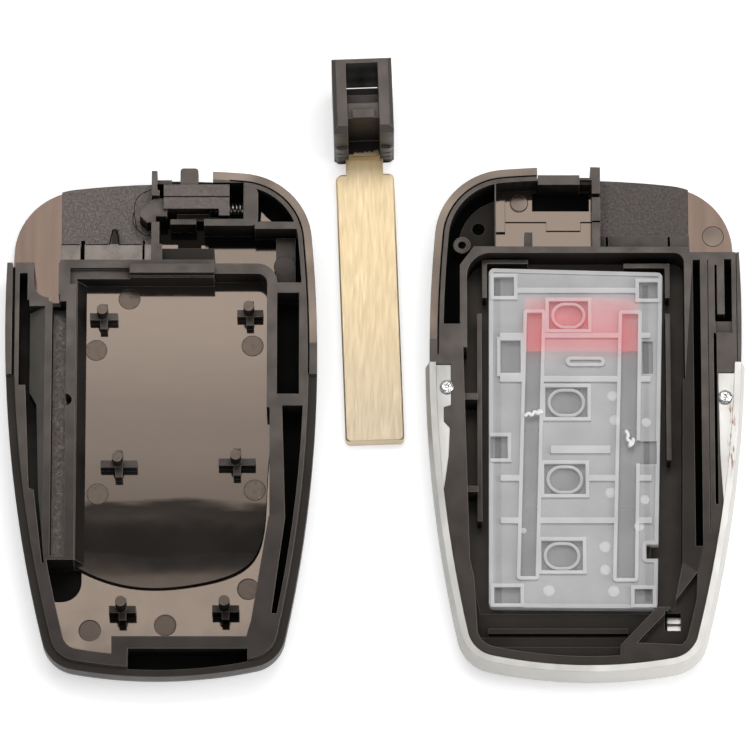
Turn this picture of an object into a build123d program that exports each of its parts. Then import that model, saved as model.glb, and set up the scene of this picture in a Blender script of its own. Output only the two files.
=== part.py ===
from build123d import *
from math import cos, pi, sin
import os

os.makedirs("parts", exist_ok=True)

# A smart key fob shell taken apart and laid out flat: the back half and the front half lie on
# their outside faces, open side up, with the emergency key between them. Lengths are millimetres.
# The plan of a half is drawn about its own middle, +X to the right and +Y towards its crown.

# Plan of the fob, shared by both halves
HALF_WIDTH = 23.3  # middle to the widest point of a side
CROWN = 39.5  # middle to the top edge
FOOT = 39.4  # middle to the bottom edge
BELLY = 13.0  # how far above the middle a side is widest
SIDE_RADIUS = 207.0
CROWN_RADIUS = 130.0
FOOT_RADIUS = 70.0
TOP_CORNER = 11.0
BOTTOM_CORNER = 5.5
LEAN = 0.9  # degrees by which the outline leans against the walls inside

# Lines that the inner forms are measured from
LEFT = -HALF_WIDTH
RIGHT = HALF_WIDTH
TOP = CROWN
BOTTOM = -FOOT
BEYOND = HALF_WIDTH + CROWN  # past every edge, for cuts that the outline bounds

# Heights above the table
RIM = 7.2  # the parting line between the halves
DOME_HEIGHT = 4.5  # the outside curves from the table up to here
DOME_INSET = 4.5  # how far the flat that it lies on is drawn in
DOME_STEPS = 4
SKIN = 1.5  # outer wall, and the lowest floors
ROOT = 0.3  # how far ribs and walls are sunk into the floor that they stand on
UPPER_FLOOR = 2.0  # floor beside the latch
CORNER_FLOOR = 2.1  # polished floor of the corner that is open for the key ring
HEAD_FLOOR = 2.4  # grained floor of the key head's pocket
CHANNEL_FLOOR = 2.6  # grained floor of the slot that the blade lies in
DEEP = 1.8  # floor of the hollows that lighten the side walls
SILL = 3.0  # low edge of the crown where the latch reaches out
LEDGE = RIM - 2.2  # the ledge below the key head's pocket, and the ribs round the pad
OVER = 3.0  # how far cuts run past the surface that they open

# Where the three lie, from the middle of the layout
BACK_X = -31.74
FRONT_X = 31.26
BACK_Y = -8.07
FRONT_Y = -7.47
KEY_X = -1.54  # middle of the shoulders of the blade
KEY_Y = 32.73
KEY_TILT = 2.1  # degrees, anticlockwise

# Edges of the halves
RIM_STRIP = 1.15  # polished edge round the crown
STRIP_DROP = 0.05  # it lies this little below the parting line
STRIP_FOOT = 12.3  # height on the plan where it ends
RIM_GROOVE = 0.25  # groove between that edge and the tongue inside it
TONGUE = 0.65
INNER = RIM_STRIP + RIM_GROOVE + TONGUE
GROOVE_DEPTH = 2.2
REBATE = 0.6  # step down of the lower sides, where the two halves overlap
REBATE_WIDTH = 1.3
BREAK_LINE = 7.4  # height on the plan where the sides change from rim strip to rebate

# Main well of the back half
WELL_LEFT = LEFT + 10.4
WELL_RIGHT = RIGHT - 7.7
WELL_TOP = TOP - 16.9
WELL_CORNER = 1.5
WELL_SLOPE = 1.4  # width of the slope at the foot of the well's left wall
WELL_STEP = 0.45  # its lower right side stands back by this
BASIN_TOP = BOTTOM + 25.4
BASIN_INSET = 3.1  # lower end of the well, from the outline
PLATEAU_LOW = BOTTOM + 14.8  # lower edge of the raised floor
PLATEAU_BEND_AT = PLATEAU_LOW + 15.6
PLATEAU_TOP = 2.9  # height of the raised floor at its upper end
PLATEAU_BEND = 2.85  # where it starts to fall away
PLATEAU_EDGE = 2.15  # and at its lower edge
POCKET_DROP = 0.3  # the pocket at the end of the blade's channel, below the basin's floor
TAB_LEFT = -4.95
TAB_RIGHT = 7.65
TAB_TOP = RIM + 1.4  # the tab that locates the halves, above the rim
CROSS_THICKNESS = 1.1
CROSS_TOP = 4.8
BASIN_CROSS_TOP = 4.2
PIN_RADIUS = 0.8
PIN_TOP = 7.6
PIN_SHIFT = (-0.2, 0.3)  # from the middle of its cross
MARK_RADIUS = 1.65  # round marks left by the ejector pins
MARK_DEPTH = 0.12

# Side features of the back half
RING_EDGE = LEFT + 7.9  # where the floor open for the key ring meets the key head's pocket
SLOT_EDGE = LEFT + 3.35  # deep slot in the left wall
SLOPE_EDGE = LEFT + 5.7
CHANNEL_LEFT = LEFT + 6.8
CHANNEL_RIGHT = WELL_LEFT - 1.5
SLOPE_LOW = 3.4

# Latch
LATCH_LEFT = -0.6
SLIDER_LENGTH = 9.9
SLIDER_WIDTH = 4.95
SLIDER_BACK = TOP - 2.05  # plan height of the slider's upper edge
SLIDER_FRONT = SLIDER_BACK - SLIDER_WIDTH
SLIDER_TOP = RIM - 0.3
SLIDER_LOW = UPPER_FLOOR + 0.1
SLIDER_LEG = 1.6
SLIDER_STEP = 1.1
SLIDE_GAP = 0.2  # between the slider and what guides it
LATCH_TRAVEL = 1.8
STOP_GAP = 0.3  # left between the slider and the stop wall when pressed
STOP_WALL = 2.2
STOP_LEFT = LATCH_LEFT + 0.6 + SLIDER_LENGTH + LATCH_TRAVEL + STOP_GAP
STOP_RIGHT = STOP_LEFT + STOP_WALL
NUB_LEFT = 2.5
NUB_WIDTH = 2.7
NUB_LOW = 4.7
NUB_REACH = 2.65  # past the slider's edge
NUB_OPENING = NUB_LEFT + NUB_WIDTH + LATCH_TRAVEL + 0.4
NOSE_REACH = 3.6  # into the key head's pocket
NOSE_TOP = 6.2
GUIDE_WALL = 1.2  # wall that the nose passes through
POST = 0.85  # its upper end stands up by itself
SPRING_WIRE = 0.32
SPRING_RADIUS = 0.95
SPRING_SEAT = 3.0  # depth of the spring's bore in the slider
SPRING_TURNS = 6
SPRING_HEIGHT = 4.6
SPRING_LINE = SLIDER_FRONT + 1.75

# Well of the front half
PAD_WELL_LEFT = LEFT + 5.8
PAD_WELL_RIGHT = RIGHT - 8.3
PAD_WELL_TOP = TOP - 13.6
PAD_WELL_CORNER = 3.6
PAD_SEAT = 3.4  # height of the rails that the pad rests on
RIB = 0.7  # thin ribs round the pad
FRONT_HEAD_RIGHT = RIGHT - 7.4
STEP = 0.3  # low steps in the polished floor
FOOT_LEDGES = (  # height of each, and where it lies above the foot
    (PAD_SEAT, 6.1, 15.4),
    (PAD_SEAT + 0.8, 4.4, 6.2),
    (LEDGE + 0.2, 2.2, 4.5),
)

# Silver trim
TRIM_WALL = 1.0
TRIM_TOP = 8.7  # height on the plan where the trim starts
TRIM_LOW = 1.9
TRIM_BULGE = 0.55
TRIM_FIT = 0.04
TRIM_HEIGHT = RIM + 0.2
FLANGE_TOP = RIM - 0.3
FLANGE_SHEET = 0.6
FLANGE_INSIDE = 3.4  # inner edge of the flanges, from the sides
STAKE_RADIUS = 0.8
TRIM_SECTIONS = (  # how far it stands out of the plan, and at what height
    (-0.2, TRIM_LOW),
    (TRIM_BULGE, TRIM_LOW + 1.3),
    (TRIM_BULGE - 0.1, TRIM_LOW + 3.3),
    (0.05, TRIM_HEIGHT),
)
HOOK_LOW = 3.0  # the trim's hook, seen through a window in the front half
HOOK_TOP = 4.3
HOOK_FOOT = BOTTOM + 6.9
HOOK_HEAD = BOTTOM + 9.2

# Buttons and the pad over them
BUTTON_NAMES = ("button_panic", "button_trunk", "button_unlock", "button_lock")
BUTTON_WIDTH = 15.4
BUTTON_LENGTH = 6.6
BUTTON_CORNER = 1.5
BUTTON_PITCH = 12.25
BUTTON_ROW = 16.2  # plan height of the top button
BUTTON_X = -0.2
BUTTON_GAP = 0.25  # round a button in its opening
BUTTON_FACE = 0.2  # the outer faces lie this far above the table
BUTTON_EDGE = 0.3
BUTTON_FLANGE = 0.9
FLANGE_RIGHT_EDGE = BUTTON_X + BUTTON_WIDTH / 2 + BUTTON_FLANGE
FLANGE_THICKNESS = 0.7
FLANGE_LIFT = 0.05
FLANGE_LOW = SKIN + FLANGE_LIFT
BOSS_SHIFT = -2.4  # the bosses stand left of the buttons' middle, under the domes
BUTTON_TRAVEL = 0.5
BUTTON_SPARE = 0.1
PAD_THICKNESS = 1.1
PAD_TOP = PAD_SEAT + PAD_THICKNESS
PAD_RIB = 0.5
PAD_FRAME = 0.55  # width of the ribs round windows and recesses
PAD_GAP = 0.3  # between the pad and the ribs round it
PAD_LEFT = PAD_WELL_LEFT + 3.0 + PAD_GAP
PAD_RIGHT = PAD_WELL_RIGHT - 2.8 - PAD_GAP
PAD_CROWN = PAD_WELL_TOP - 1.6
PAD_FOOT = BOTTOM + 10.4
THIN_FLOOR = 0.45  # what is left under the sunk windows
RING_FLOOR = 0.3

# Key
BLADE_WIDTH = 8.8
BLADE_LENGTH = 42.3
BLADE_THICKNESS = 2.0
BLADE_CORNER = 0.8
NECK_WIDTH = 5.6
NECK_LENGTH = 2.4
TANG_LENGTH = 5.0
HEAD_WIDTH = 9.0
HEAD_LENGTH = 12.2
HEAD_HEIGHT = 14.0
HEAD_RAIL = 2.1
HEAD_END = NECK_LENGTH + HEAD_LENGTH
GAP_HALF = HEAD_WIDTH / 2 - HEAD_RAIL
WINDOW_LENGTH = 4.3
END_BAR = 1.1
COLLAR_HEIGHT = 6.4


def rectangle(left, right, low, high, mode=Mode.ADD):
    """Adds a rectangle between two corners to the sketch."""
    with Locations(((left + right) / 2, (low + high) / 2)):
        Rectangle(right - left, high - low, mode=mode)


def fob_outline(inset=0.0, lean=LEAN):
    """Plan of the fob drawn in by inset: four large arcs with rounded corners."""
    with BuildSketch() as outline:
        with Locations((HALF_WIDTH - SIDE_RADIUS, BELLY)):
            Circle(SIDE_RADIUS - inset)
        with Locations((SIDE_RADIUS - HALF_WIDTH, BELLY)):
            Circle(SIDE_RADIUS - inset, mode=Mode.INTERSECT)
        with Locations((0, CROWN - CROWN_RADIUS)):
            Circle(CROWN_RADIUS - inset, mode=Mode.INTERSECT)
        with Locations((0, FOOT_RADIUS - FOOT)):
            Circle(FOOT_RADIUS - inset, mode=Mode.INTERSECT)
        fillet(outline.vertices().sort_by(Axis.Y)[-2:], max(TOP_CORNER - inset, 1))
        fillet(outline.vertices().sort_by(Axis.Y)[:2], max(BOTTOM_CORNER - inset, 1))
    return outline.sketch.rotate(Axis.Z, lean)


def shell_blank(lean):
    """Solid half of the fob: a domed outside under an upright rim."""
    with BuildPart() as blank:
        for step in range(DOME_STEPS + 1):
            turn = pi / 2 * step / DOME_STEPS
            with BuildSketch(Plane.XY.offset(DOME_HEIGHT * (1 - cos(turn)))):
                add(fob_outline(DOME_INSET * (1 - sin(turn)), lean))
        loft()
        with BuildSketch(Plane.XY.offset(DOME_HEIGHT)):
            add(fob_outline(0, lean))
        extrude(amount=RIM - DOME_HEIGHT)
    return blank.part


# Raised floor of the back half's well: it falls away towards its curved lower edge
with BuildPart() as plateau:
    with BuildSketch(Plane.YZ):
        with BuildLine():
            level = Line((WELL_TOP, PLATEAU_TOP), (PLATEAU_BEND_AT, PLATEAU_BEND))
            fall = TangentArc(level @ 1, (PLATEAU_LOW - 1, PLATEAU_EDGE), tangent=level % 1)
            Polyline(
                fall @ 1,
                (PLATEAU_LOW - 1, SKIN - ROOT),
                (WELL_TOP + 1, SKIN - ROOT),
                (WELL_TOP + 1, PLATEAU_TOP),
                level @ 0,
            )
        make_face()
    extrude(amount=HALF_WIDTH, both=True)
    with BuildSketch(Plane.XY):
        with BuildLine():
            edge = Spline(
                (WELL_RIGHT + WELL_STEP, PLATEAU_LOW + 21),
                (WELL_RIGHT, PLATEAU_LOW + 13.7),
                (WELL_RIGHT - 2.3, PLATEAU_LOW + 4.2),
                (WELL_RIGHT - 10.2, PLATEAU_LOW + 0.8),
                (WELL_LEFT + 7.9, PLATEAU_LOW + 0.5),
                (WELL_LEFT + 1.1, PLATEAU_LOW + 2.9),
            )
            Polyline(
                edge @ 1,
                (WELL_LEFT - ROOT, PLATEAU_LOW + 3.6),
                (WELL_LEFT - ROOT, WELL_TOP + 0.8),
                (WELL_RIGHT + 0.8, WELL_TOP + 0.8),
                (WELL_RIGHT + 0.8, PLATEAU_LOW + 21),
                edge @ 0,
            )
        make_face()
    extrude(amount=RIM, mode=Mode.INTERSECT)

# Sloping side of the wall between the blade's channel and the outer wall
with BuildPart() as blade_slope:
    with BuildSketch(Plane.XZ):
        Polygon(
            (SLOT_EDGE, SLOPE_LOW),
            (SLOPE_EDGE, RIM - 0.6),
            (SLOPE_EDGE, RIM + OVER),
            (SLOT_EDGE, RIM + OVER),
            align=None,
        )
    extrude(amount=BEYOND, both=True)
    with BuildSketch(Plane.XY):
        Polygon(
            (SLOT_EDGE, 18.1),
            (SLOPE_EDGE, 18.1),
            (SLOPE_EDGE, BOTTOM + 19.4),
            (LEFT + 4.94, -10.7),
            (LEFT + 4.5, 3.3),
            (SLOT_EDGE, 5.0),
            align=None,
        )
    extrude(amount=RIM + OVER, mode=Mode.INTERSECT)

# Back half
CROSSES = (
    (WELL_LEFT + 4.05, WELL_TOP - 5.4, 4.2, 3.9),
    (WELL_RIGHT - 2.55, WELL_TOP - 4.9, 3.9, 3.8),
    (WELL_LEFT + 6.5, -5.9, 5.5, 4.2),
    (WELL_RIGHT - 4.4, -5.6, 5.5, 4.2),
)
BASIN_CROSSES = (
    (WELL_LEFT + 7.2, BOTTOM + 11.1, 4.0, 3.4),
    (WELL_RIGHT - 6.0, BOTTOM + 11.2, 4.0, 3.4),
)

with BuildPart() as back_cover:
    add(shell_blank(LEAN))

    # Rebate down both lower sides
    with BuildSketch(Plane.XY.offset(RIM - REBATE)):
        add(fob_outline(-1))
        add(fob_outline(REBATE_WIDTH), mode=Mode.SUBTRACT)
        rectangle(-BEYOND, BEYOND, -BEYOND, BREAK_LINE, mode=Mode.INTERSECT)
    extrude(amount=OVER, mode=Mode.SUBTRACT)

    # Polished edge round the crown, and the groove inside it
    with BuildSketch(Plane.XY.offset(RIM - STRIP_DROP)):
        add(fob_outline(-1))
        add(fob_outline(RIM_STRIP + RIM_GROOVE / 2), mode=Mode.SUBTRACT)
        rectangle(NUB_OPENING, BEYOND, STRIP_FOOT, BEYOND, mode=Mode.INTERSECT)
    extrude(amount=OVER, mode=Mode.SUBTRACT)
    with BuildSketch(Plane.XY.offset(RIM - GROOVE_DEPTH)):
        add(fob_outline(RIM_STRIP))
        add(fob_outline(RIM_STRIP + RIM_GROOVE), mode=Mode.SUBTRACT)
        rectangle(SLIDER_LENGTH, BEYOND, BREAK_LINE, BEYOND, mode=Mode.INTERSECT)
    extrude(amount=OVER + GROOVE_DEPTH, mode=Mode.SUBTRACT)

    # Main well and the basin below it
    with BuildSketch(Plane.XY.offset(SKIN)) as well:
        rectangle(WELL_LEFT, WELL_RIGHT, BASIN_TOP - 0.8, WELL_TOP)
        rectangle(TAB_RIGHT, WELL_RIGHT, 0, WELL_TOP + 0.6)
        rectangle(0, WELL_RIGHT + WELL_STEP, BASIN_TOP - 0.8, 2.2)
        fillet(well.vertices().group_by(Axis.Y)[-1].sort_by(Axis.X)[-1], WELL_CORNER)
    extrude(amount=RIM + OVER, mode=Mode.SUBTRACT)
    with BuildSketch(Plane.XY.offset(SKIN)):
        add(fob_outline(BASIN_INSET))
        Polygon(
            (WELL_LEFT, BASIN_TOP),
            (WELL_RIGHT + WELL_STEP, BASIN_TOP),
            (WELL_RIGHT - 2.2, BOTTOM + 8.5),
            (WELL_RIGHT - 2.9, BOTTOM + 6.1),
            (WELL_LEFT + 5.7, BOTTOM + 6.1),
            (WELL_LEFT + 5.7, -BEYOND),
            (-BEYOND, -BEYOND),
            (-BEYOND, BOTTOM + 16.0),
            (WELL_LEFT - 1.4, BOTTOM + 16.0),
            (WELL_LEFT, BOTTOM + 17.0),
            align=None,
            mode=Mode.INTERSECT,
        )
    extrude(amount=RIM + OVER, mode=Mode.SUBTRACT)
    with BuildSketch(Plane.XY.offset(SKIN - POCKET_DROP)) as end_pocket:
        rectangle(LEFT + 5.0, WELL_LEFT + 1.0, BOTTOM + 13.0, BOTTOM + 17.9)
        fillet(end_pocket.vertices().sort_by(Axis.Y)[:2].sort_by(Axis.X)[-1], 3.0)
        add(fob_outline(BASIN_INSET), mode=Mode.INTERSECT)
    extrude(amount=RIM + OVER, mode=Mode.SUBTRACT)
    add(plateau.part)

    # Slope at the foot of the well's left wall
    with BuildSketch(Plane.XZ.offset(-WELL_TOP)):
        Polygon(
            (WELL_LEFT - 0.2, SKIN),
            (WELL_LEFT - 0.2, RIM - 1.8),
            (WELL_LEFT + 0.1, RIM - 1.8),
            (WELL_LEFT + WELL_SLOPE, PLATEAU_TOP),
            (WELL_LEFT + WELL_SLOPE, SKIN),
            align=None,
        )
    extrude(amount=WELL_TOP - PLATEAU_LOW - 3.6)

    # Wall above the well: a step, and a tab that stands above the rim
    with BuildSketch(Plane.XY.offset(RIM - 0.8)):
        rectangle(WELL_LEFT - 1.05, TAB_LEFT, WELL_TOP - 1, WELL_TOP + 1.5)
    extrude(amount=OVER, mode=Mode.SUBTRACT)
    with BuildSketch(Plane.XY.offset(RIM - 1)):
        rectangle(TAB_LEFT, TAB_RIGHT, WELL_TOP + 0.3, WELL_TOP + 1.7)
    extrude(amount=TAB_TOP - RIM + 1)

    # Corner that is open for the key ring, and the key head's pocket beside it
    with BuildSketch(Plane.XY.offset(CORNER_FLOOR)) as key_ring_corner:
        rectangle(-BEYOND, RING_EDGE, TOP - 14.55, BEYOND)
        rectangle(LEFT + 4.0, RING_EDGE - 0.2, TOP - 20.1, TOP - 9.5)
        fillet(key_ring_corner.vertices().sort_by(Axis.Y)[:2].sort_by(Axis.X)[0], 2.4)
    extrude(amount=RIM + OVER, mode=Mode.SUBTRACT)
    with BuildSketch(Plane.XY.offset(HEAD_FLOOR)):
        rectangle(RING_EDGE, LATCH_LEFT - GUIDE_WALL, TOP - 10.9, BEYOND)
    extrude(amount=RIM + OVER, mode=Mode.SUBTRACT)
    with BuildSketch(Plane.XY.offset(LEDGE)):
        rectangle(RING_EDGE, LATCH_LEFT - GUIDE_WALL, TOP - 14.1, TOP - 9.5)
    extrude(amount=RIM + OVER, mode=Mode.SUBTRACT)
    with BuildSketch(Plane.XY.offset(DEEP)):
        rectangle(RING_EDGE + 2.95, RING_EDGE + 3.55, TOP - 13.4, TOP - 9.5)
        rectangle(LATCH_LEFT - 2.55, LATCH_LEFT - 2.25, TOP - 13.4, TOP - 9.5)
    extrude(amount=RIM + OVER, mode=Mode.SUBTRACT)
    with BuildSketch(Plane.XY.offset(SKIN)):
        rectangle(RING_EDGE + 7.6, RING_EDGE + 8.65, TOP - 11.5, TOP - 8.5)
    extrude(amount=LEDGE - SKIN)

    # Hollow beside the latch, inside the tongue, down to the wall above the well
    with BuildSketch(Plane.XY.offset(UPPER_FLOOR)):
        rectangle(LATCH_LEFT, BEYOND, TOP - 11.6, BEYOND)
        rectangle(TAB_RIGHT, BEYOND, WELL_TOP - 0.8, TOP - 9.5)
        with Locations((WELL_RIGHT + 1.5 - TAB_RIGHT, WELL_TOP + 2.2 - TAB_RIGHT)):
            RectangleRounded(2 * TAB_RIGHT, 2 * TAB_RIGHT, 2 * WELL_CORNER, mode=Mode.SUBTRACT)
        add(fob_outline(INNER), mode=Mode.INTERSECT)
    extrude(amount=RIM + OVER, mode=Mode.SUBTRACT)
    with BuildSketch(Plane.XY.offset(UPPER_FLOOR)):
        rectangle(LATCH_LEFT, STOP_LEFT, SLIDER_FRONT, SLIDER_BACK + SLIDE_GAP)
    extrude(amount=RIM + OVER, mode=Mode.SUBTRACT)
    with BuildSketch(Plane.XY.offset(LEDGE)):
        rectangle(LATCH_LEFT + 0.4, TAB_RIGHT, TOP - 14.1, TOP - 11)
    extrude(amount=RIM + OVER, mode=Mode.SUBTRACT)

    # Way out for the thumb nub, over a low sill with a lug, and for the nose
    with BuildSketch(Plane.XY.offset(SILL)):
        rectangle(LATCH_LEFT - GUIDE_WALL + POST, NUB_OPENING, SLIDER_BACK - 1, BEYOND)
    extrude(amount=RIM + OVER, mode=Mode.SUBTRACT)
    with BuildSketch(Plane.XY.offset(SILL - ROOT)):
        rectangle(LATCH_LEFT - GUIDE_WALL, NUB_LEFT - 1.3, SLIDER_BACK + 0.3, SLIDER_BACK + 0.9)
    extrude(amount=NOSE_TOP - SILL + ROOT)
    with BuildSketch(Plane.XY.offset(HEAD_FLOOR)):
        rectangle(LATCH_LEFT - 2 * GUIDE_WALL, LATCH_LEFT + 0.1, SLIDER_FRONT - 1.1, SLIDER_FRONT + 3.1)
    extrude(amount=RIM + OVER, mode=Mode.SUBTRACT)

    # Walls that hold the latch, and the rib to the tongue
    with BuildSketch(Plane.XY.offset(UPPER_FLOOR - ROOT)) as stop_wall:
        rectangle(STOP_LEFT, STOP_RIGHT, SLIDER_FRONT - 1.7, SLIDER_BACK - 0.5)
        fillet(stop_wall.vertices().sort_by(Axis.X)[-2:], 1.1)
        rectangle(LATCH_LEFT + 6.7, STOP_RIGHT - 1.1, SLIDER_FRONT - 1.7, SLIDER_FRONT - 0.65)
    extrude(amount=RIM - UPPER_FLOOR + ROOT)
    with BuildSketch(Plane.XY.offset(UPPER_FLOOR - ROOT)):
        rectangle(LATCH_LEFT + 1.6, LATCH_LEFT + 5.5, SLIDER_FRONT - 1.0, SLIDER_FRONT - SLIDE_GAP)
    extrude(amount=LEDGE + 1 - UPPER_FLOOR)
    with BuildSketch(Plane.XY.offset(UPPER_FLOOR - ROOT)):
        rectangle(STOP_RIGHT - 0.5, BEYOND, SLIDER_FRONT - 2.2, SLIDER_FRONT - 1.1)
        add(fob_outline(INNER - ROOT), mode=Mode.INTERSECT)
    extrude(amount=RIM - UPPER_FLOOR + ROOT)
    with BuildSketch(Plane.XY.offset(UPPER_FLOOR - ROOT)):
        rectangle(RIGHT - 6.4, RIGHT - 3.5, WELL_TOP - 1, TOP - 9.6)
    extrude(amount=2.2)

    # Deep hollows that lighten the right wall
    with BuildSketch(Plane.XY.offset(DEEP)):
        rectangle(WELL_RIGHT + 1.5, RIGHT - 2.9, 4.3, WELL_TOP - 2.4)
    extrude(amount=RIM + OVER, mode=Mode.SUBTRACT)
    with BuildSketch(Plane.XY.offset(DEEP)):
        Polygon(
            (RIGHT - 5.4, 2.5),
            (RIGHT - 0.8, 2.5),
            (RIGHT - 0.8, BOTTOM + 9.6),
            (RIGHT - 6.9, BOTTOM + 9.6),
            (RIGHT - 4.9, BOTTOM + 24.4),
            align=None,
        )
        add(fob_outline(2.0), mode=Mode.INTERSECT)
    extrude(amount=RIM + OVER, mode=Mode.SUBTRACT)

    # Left side: groove, deep slot, slope, gap and the blade's channel
    with BuildSketch(Plane.XY.offset(RIM - GROOVE_DEPTH)):
        rectangle(LEFT + 0.8, LEFT + 1.2, BREAK_LINE, TOP - 14.55)
    extrude(amount=RIM, mode=Mode.SUBTRACT)
    with BuildSketch(Plane.XY.offset(UPPER_FLOOR)):
        rectangle(LEFT + 1.85, SLOT_EDGE, 5.7, 19.1)
        rectangle(LEFT + 1.85, SLOT_EDGE - 0.3, 19.0, TOP - 16.2)
        Polygon(
            (SLOT_EDGE, 5.7),
            (LEFT + 4.5, 3.35),
            (LEFT + 4.94, -10.7),
            (LEFT + 6.0, BOTTOM + 17.5),
            (LEFT + 5.7, BOTTOM + 17.3),
            (LEFT + 4.34, -10.7),
            (LEFT + 3.6, -10.4),
            (LEFT + 2.9, 5.7),
            align=None,
        )
    extrude(amount=RIM + OVER, mode=Mode.SUBTRACT)
    add(blade_slope.part, mode=Mode.SUBTRACT)
    with BuildSketch(Plane.XY.offset(CHANNEL_FLOOR)):
        rectangle(CHANNEL_LEFT, CHANNEL_RIGHT, BOTTOM + 18.5, TOP - 20.65)
        with Locations((CHANNEL_RIGHT, 3.4)):
            Circle(0.95)
    extrude(amount=RIM + OVER, mode=Mode.SUBTRACT)
    with BuildSketch(Plane.XY.offset(LEDGE - 0.4)):
        rectangle(CHANNEL_LEFT - 0.6, RING_EDGE, TOP - 20.7, TOP - 19.6)
    extrude(amount=RIM + OVER, mode=Mode.SUBTRACT)

    # Snap bar at the foot, with a deep slot behind it
    with BuildSketch(Plane.XY.offset(SILL)):
        rectangle(WELL_LEFT + 8.1, WELL_RIGHT - 2.7, -BEYOND, BOTTOM + 4.2)
        add(fob_outline(1.05), mode=Mode.INTERSECT)
    extrude(amount=RIM + OVER, mode=Mode.SUBTRACT)

    # Crosses on the floors, and a pin on each
    for crosses, top in ((CROSSES, CROSS_TOP), (BASIN_CROSSES, BASIN_CROSS_TOP)):
        with BuildSketch(Plane.XY.offset(SKIN - ROOT)):
            for x, y, width, length in crosses:
                with Locations((x, y)):
                    Rectangle(width, CROSS_THICKNESS)
                    Rectangle(CROSS_THICKNESS, length)
        extrude(amount=top - SKIN + ROOT)
    with BuildSketch(Plane.XY.offset(SKIN - ROOT)):
        for x, y, width, length in CROSSES + BASIN_CROSSES:
            with Locations((x + PIN_SHIFT[0], y + PIN_SHIFT[1])):
                Circle(PIN_RADIUS)
    extrude(amount=PIN_TOP - SKIN + ROOT)

    # Round marks of the ejector pins on the lowest floors
    with BuildSketch(Plane.XY.offset(SKIN - MARK_DEPTH)):
        with Locations(
            (WELL_LEFT + 2.3, BOTTOM + 8.6),
            (WELL_LEFT + 13.5, BOTTOM + 9.4),
            (WELL_RIGHT - 2.7, BOTTOM + 15.0),
        ):
            Circle(MARK_RADIUS)
    extrude(amount=MARK_DEPTH + 0.5, mode=Mode.SUBTRACT)
back_cover.part.label = "back_cover"

# Latch slider: a long block with a grained top bar, a thumb nub, and a nose that holds the key
with BuildPart() as latch_slider:
    with BuildSketch(Plane.XY.offset(SLIDER_LOW)):
        rectangle(0, SLIDER_LENGTH, SLIDER_FRONT + SLIDER_STEP, SLIDER_BACK)
        rectangle(SLIDER_LENGTH - SLIDER_LEG, SLIDER_LENGTH, SLIDER_FRONT, SLIDER_BACK)
        rectangle(2.0, SLIDER_LENGTH - SLIDER_LEG, SLIDER_FRONT, SLIDER_BACK)
    extrude(amount=SLIDER_TOP - SLIDER_LOW)
    with BuildSketch(Plane.XY.offset(SLIDER_LOW + 2.2)):
        rectangle(-1, SLIDER_LENGTH - SLIDER_LEG, SLIDER_FRONT - 1, SLIDER_FRONT + SLIDER_STEP)
    extrude(amount=OVER, mode=Mode.SUBTRACT)
    with BuildSketch(Plane.XY.offset(SLIDER_TOP - 0.3)):
        rectangle(-1, SLIDER_LENGTH + 1, SLIDER_BACK - 2.05, SLIDER_BACK - 1.85)
    extrude(amount=OVER, mode=Mode.SUBTRACT)
    with BuildSketch(Plane.XY.offset(NUB_LOW)) as nub:
        rectangle(NUB_LEFT, NUB_LEFT + NUB_WIDTH, SLIDER_BACK - 0.5, SLIDER_BACK + NUB_REACH)
        fillet(nub.vertices().group_by(Axis.Y)[-1], 0.5)
    extrude(amount=SLIDER_TOP - NUB_LOW - 0.3)
    with BuildSketch(Plane.XY.offset(HEAD_FLOOR + 0.1)):
        Polygon(
            (0.5, SLIDER_FRONT + 2.9),
            (-1.4, SLIDER_FRONT + 2.9),
            (-NOSE_REACH, SLIDER_FRONT + 1.0),
            (-NOSE_REACH, SLIDER_FRONT + 0.2),
            (1.1 - NOSE_REACH, SLIDER_FRONT - 0.9),
            (-1.2, SLIDER_FRONT - 0.9),
            (-1.2, SLIDER_FRONT + 0.1),
            (0.5, SLIDER_FRONT + 0.1),
            align=None,
        )
    extrude(amount=NOSE_TOP - HEAD_FLOOR)
    with BuildSketch(Plane.YZ.offset(SLIDER_LENGTH)):
        with Locations((SPRING_LINE, SPRING_HEIGHT)):
            Circle(SPRING_RADIUS + SPRING_WIRE / 2 + 0.1)
    extrude(amount=-SPRING_SEAT, mode=Mode.SUBTRACT)
latch_slider.part.label = "latch_slider"

# Spring of the latch, from the bottom of its bore to the stop wall; six flats stand for its round wire
SPRING_FROM = SLIDER_LENGTH - SPRING_SEAT + SPRING_WIRE / 2 + 0.05
SPRING_LENGTH = STOP_LEFT - SPRING_FROM - SPRING_WIRE / 2 - 0.05
with BuildPart() as latch_spring:
    with BuildLine():
        coil = Helix(
            pitch=SPRING_LENGTH / SPRING_TURNS,
            height=SPRING_LENGTH,
            radius=SPRING_RADIUS,
            center=(SPRING_FROM, SPRING_LINE, SPRING_HEIGHT),
            direction=(1, 0, 0),
        )
    with BuildSketch(Plane(origin=coil @ 0, z_dir=coil % 0)):
        RegularPolygon(SPRING_WIRE / 2, 6)
    sweep(path=coil)
latch_spring.part.label = "latch_spring"

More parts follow.
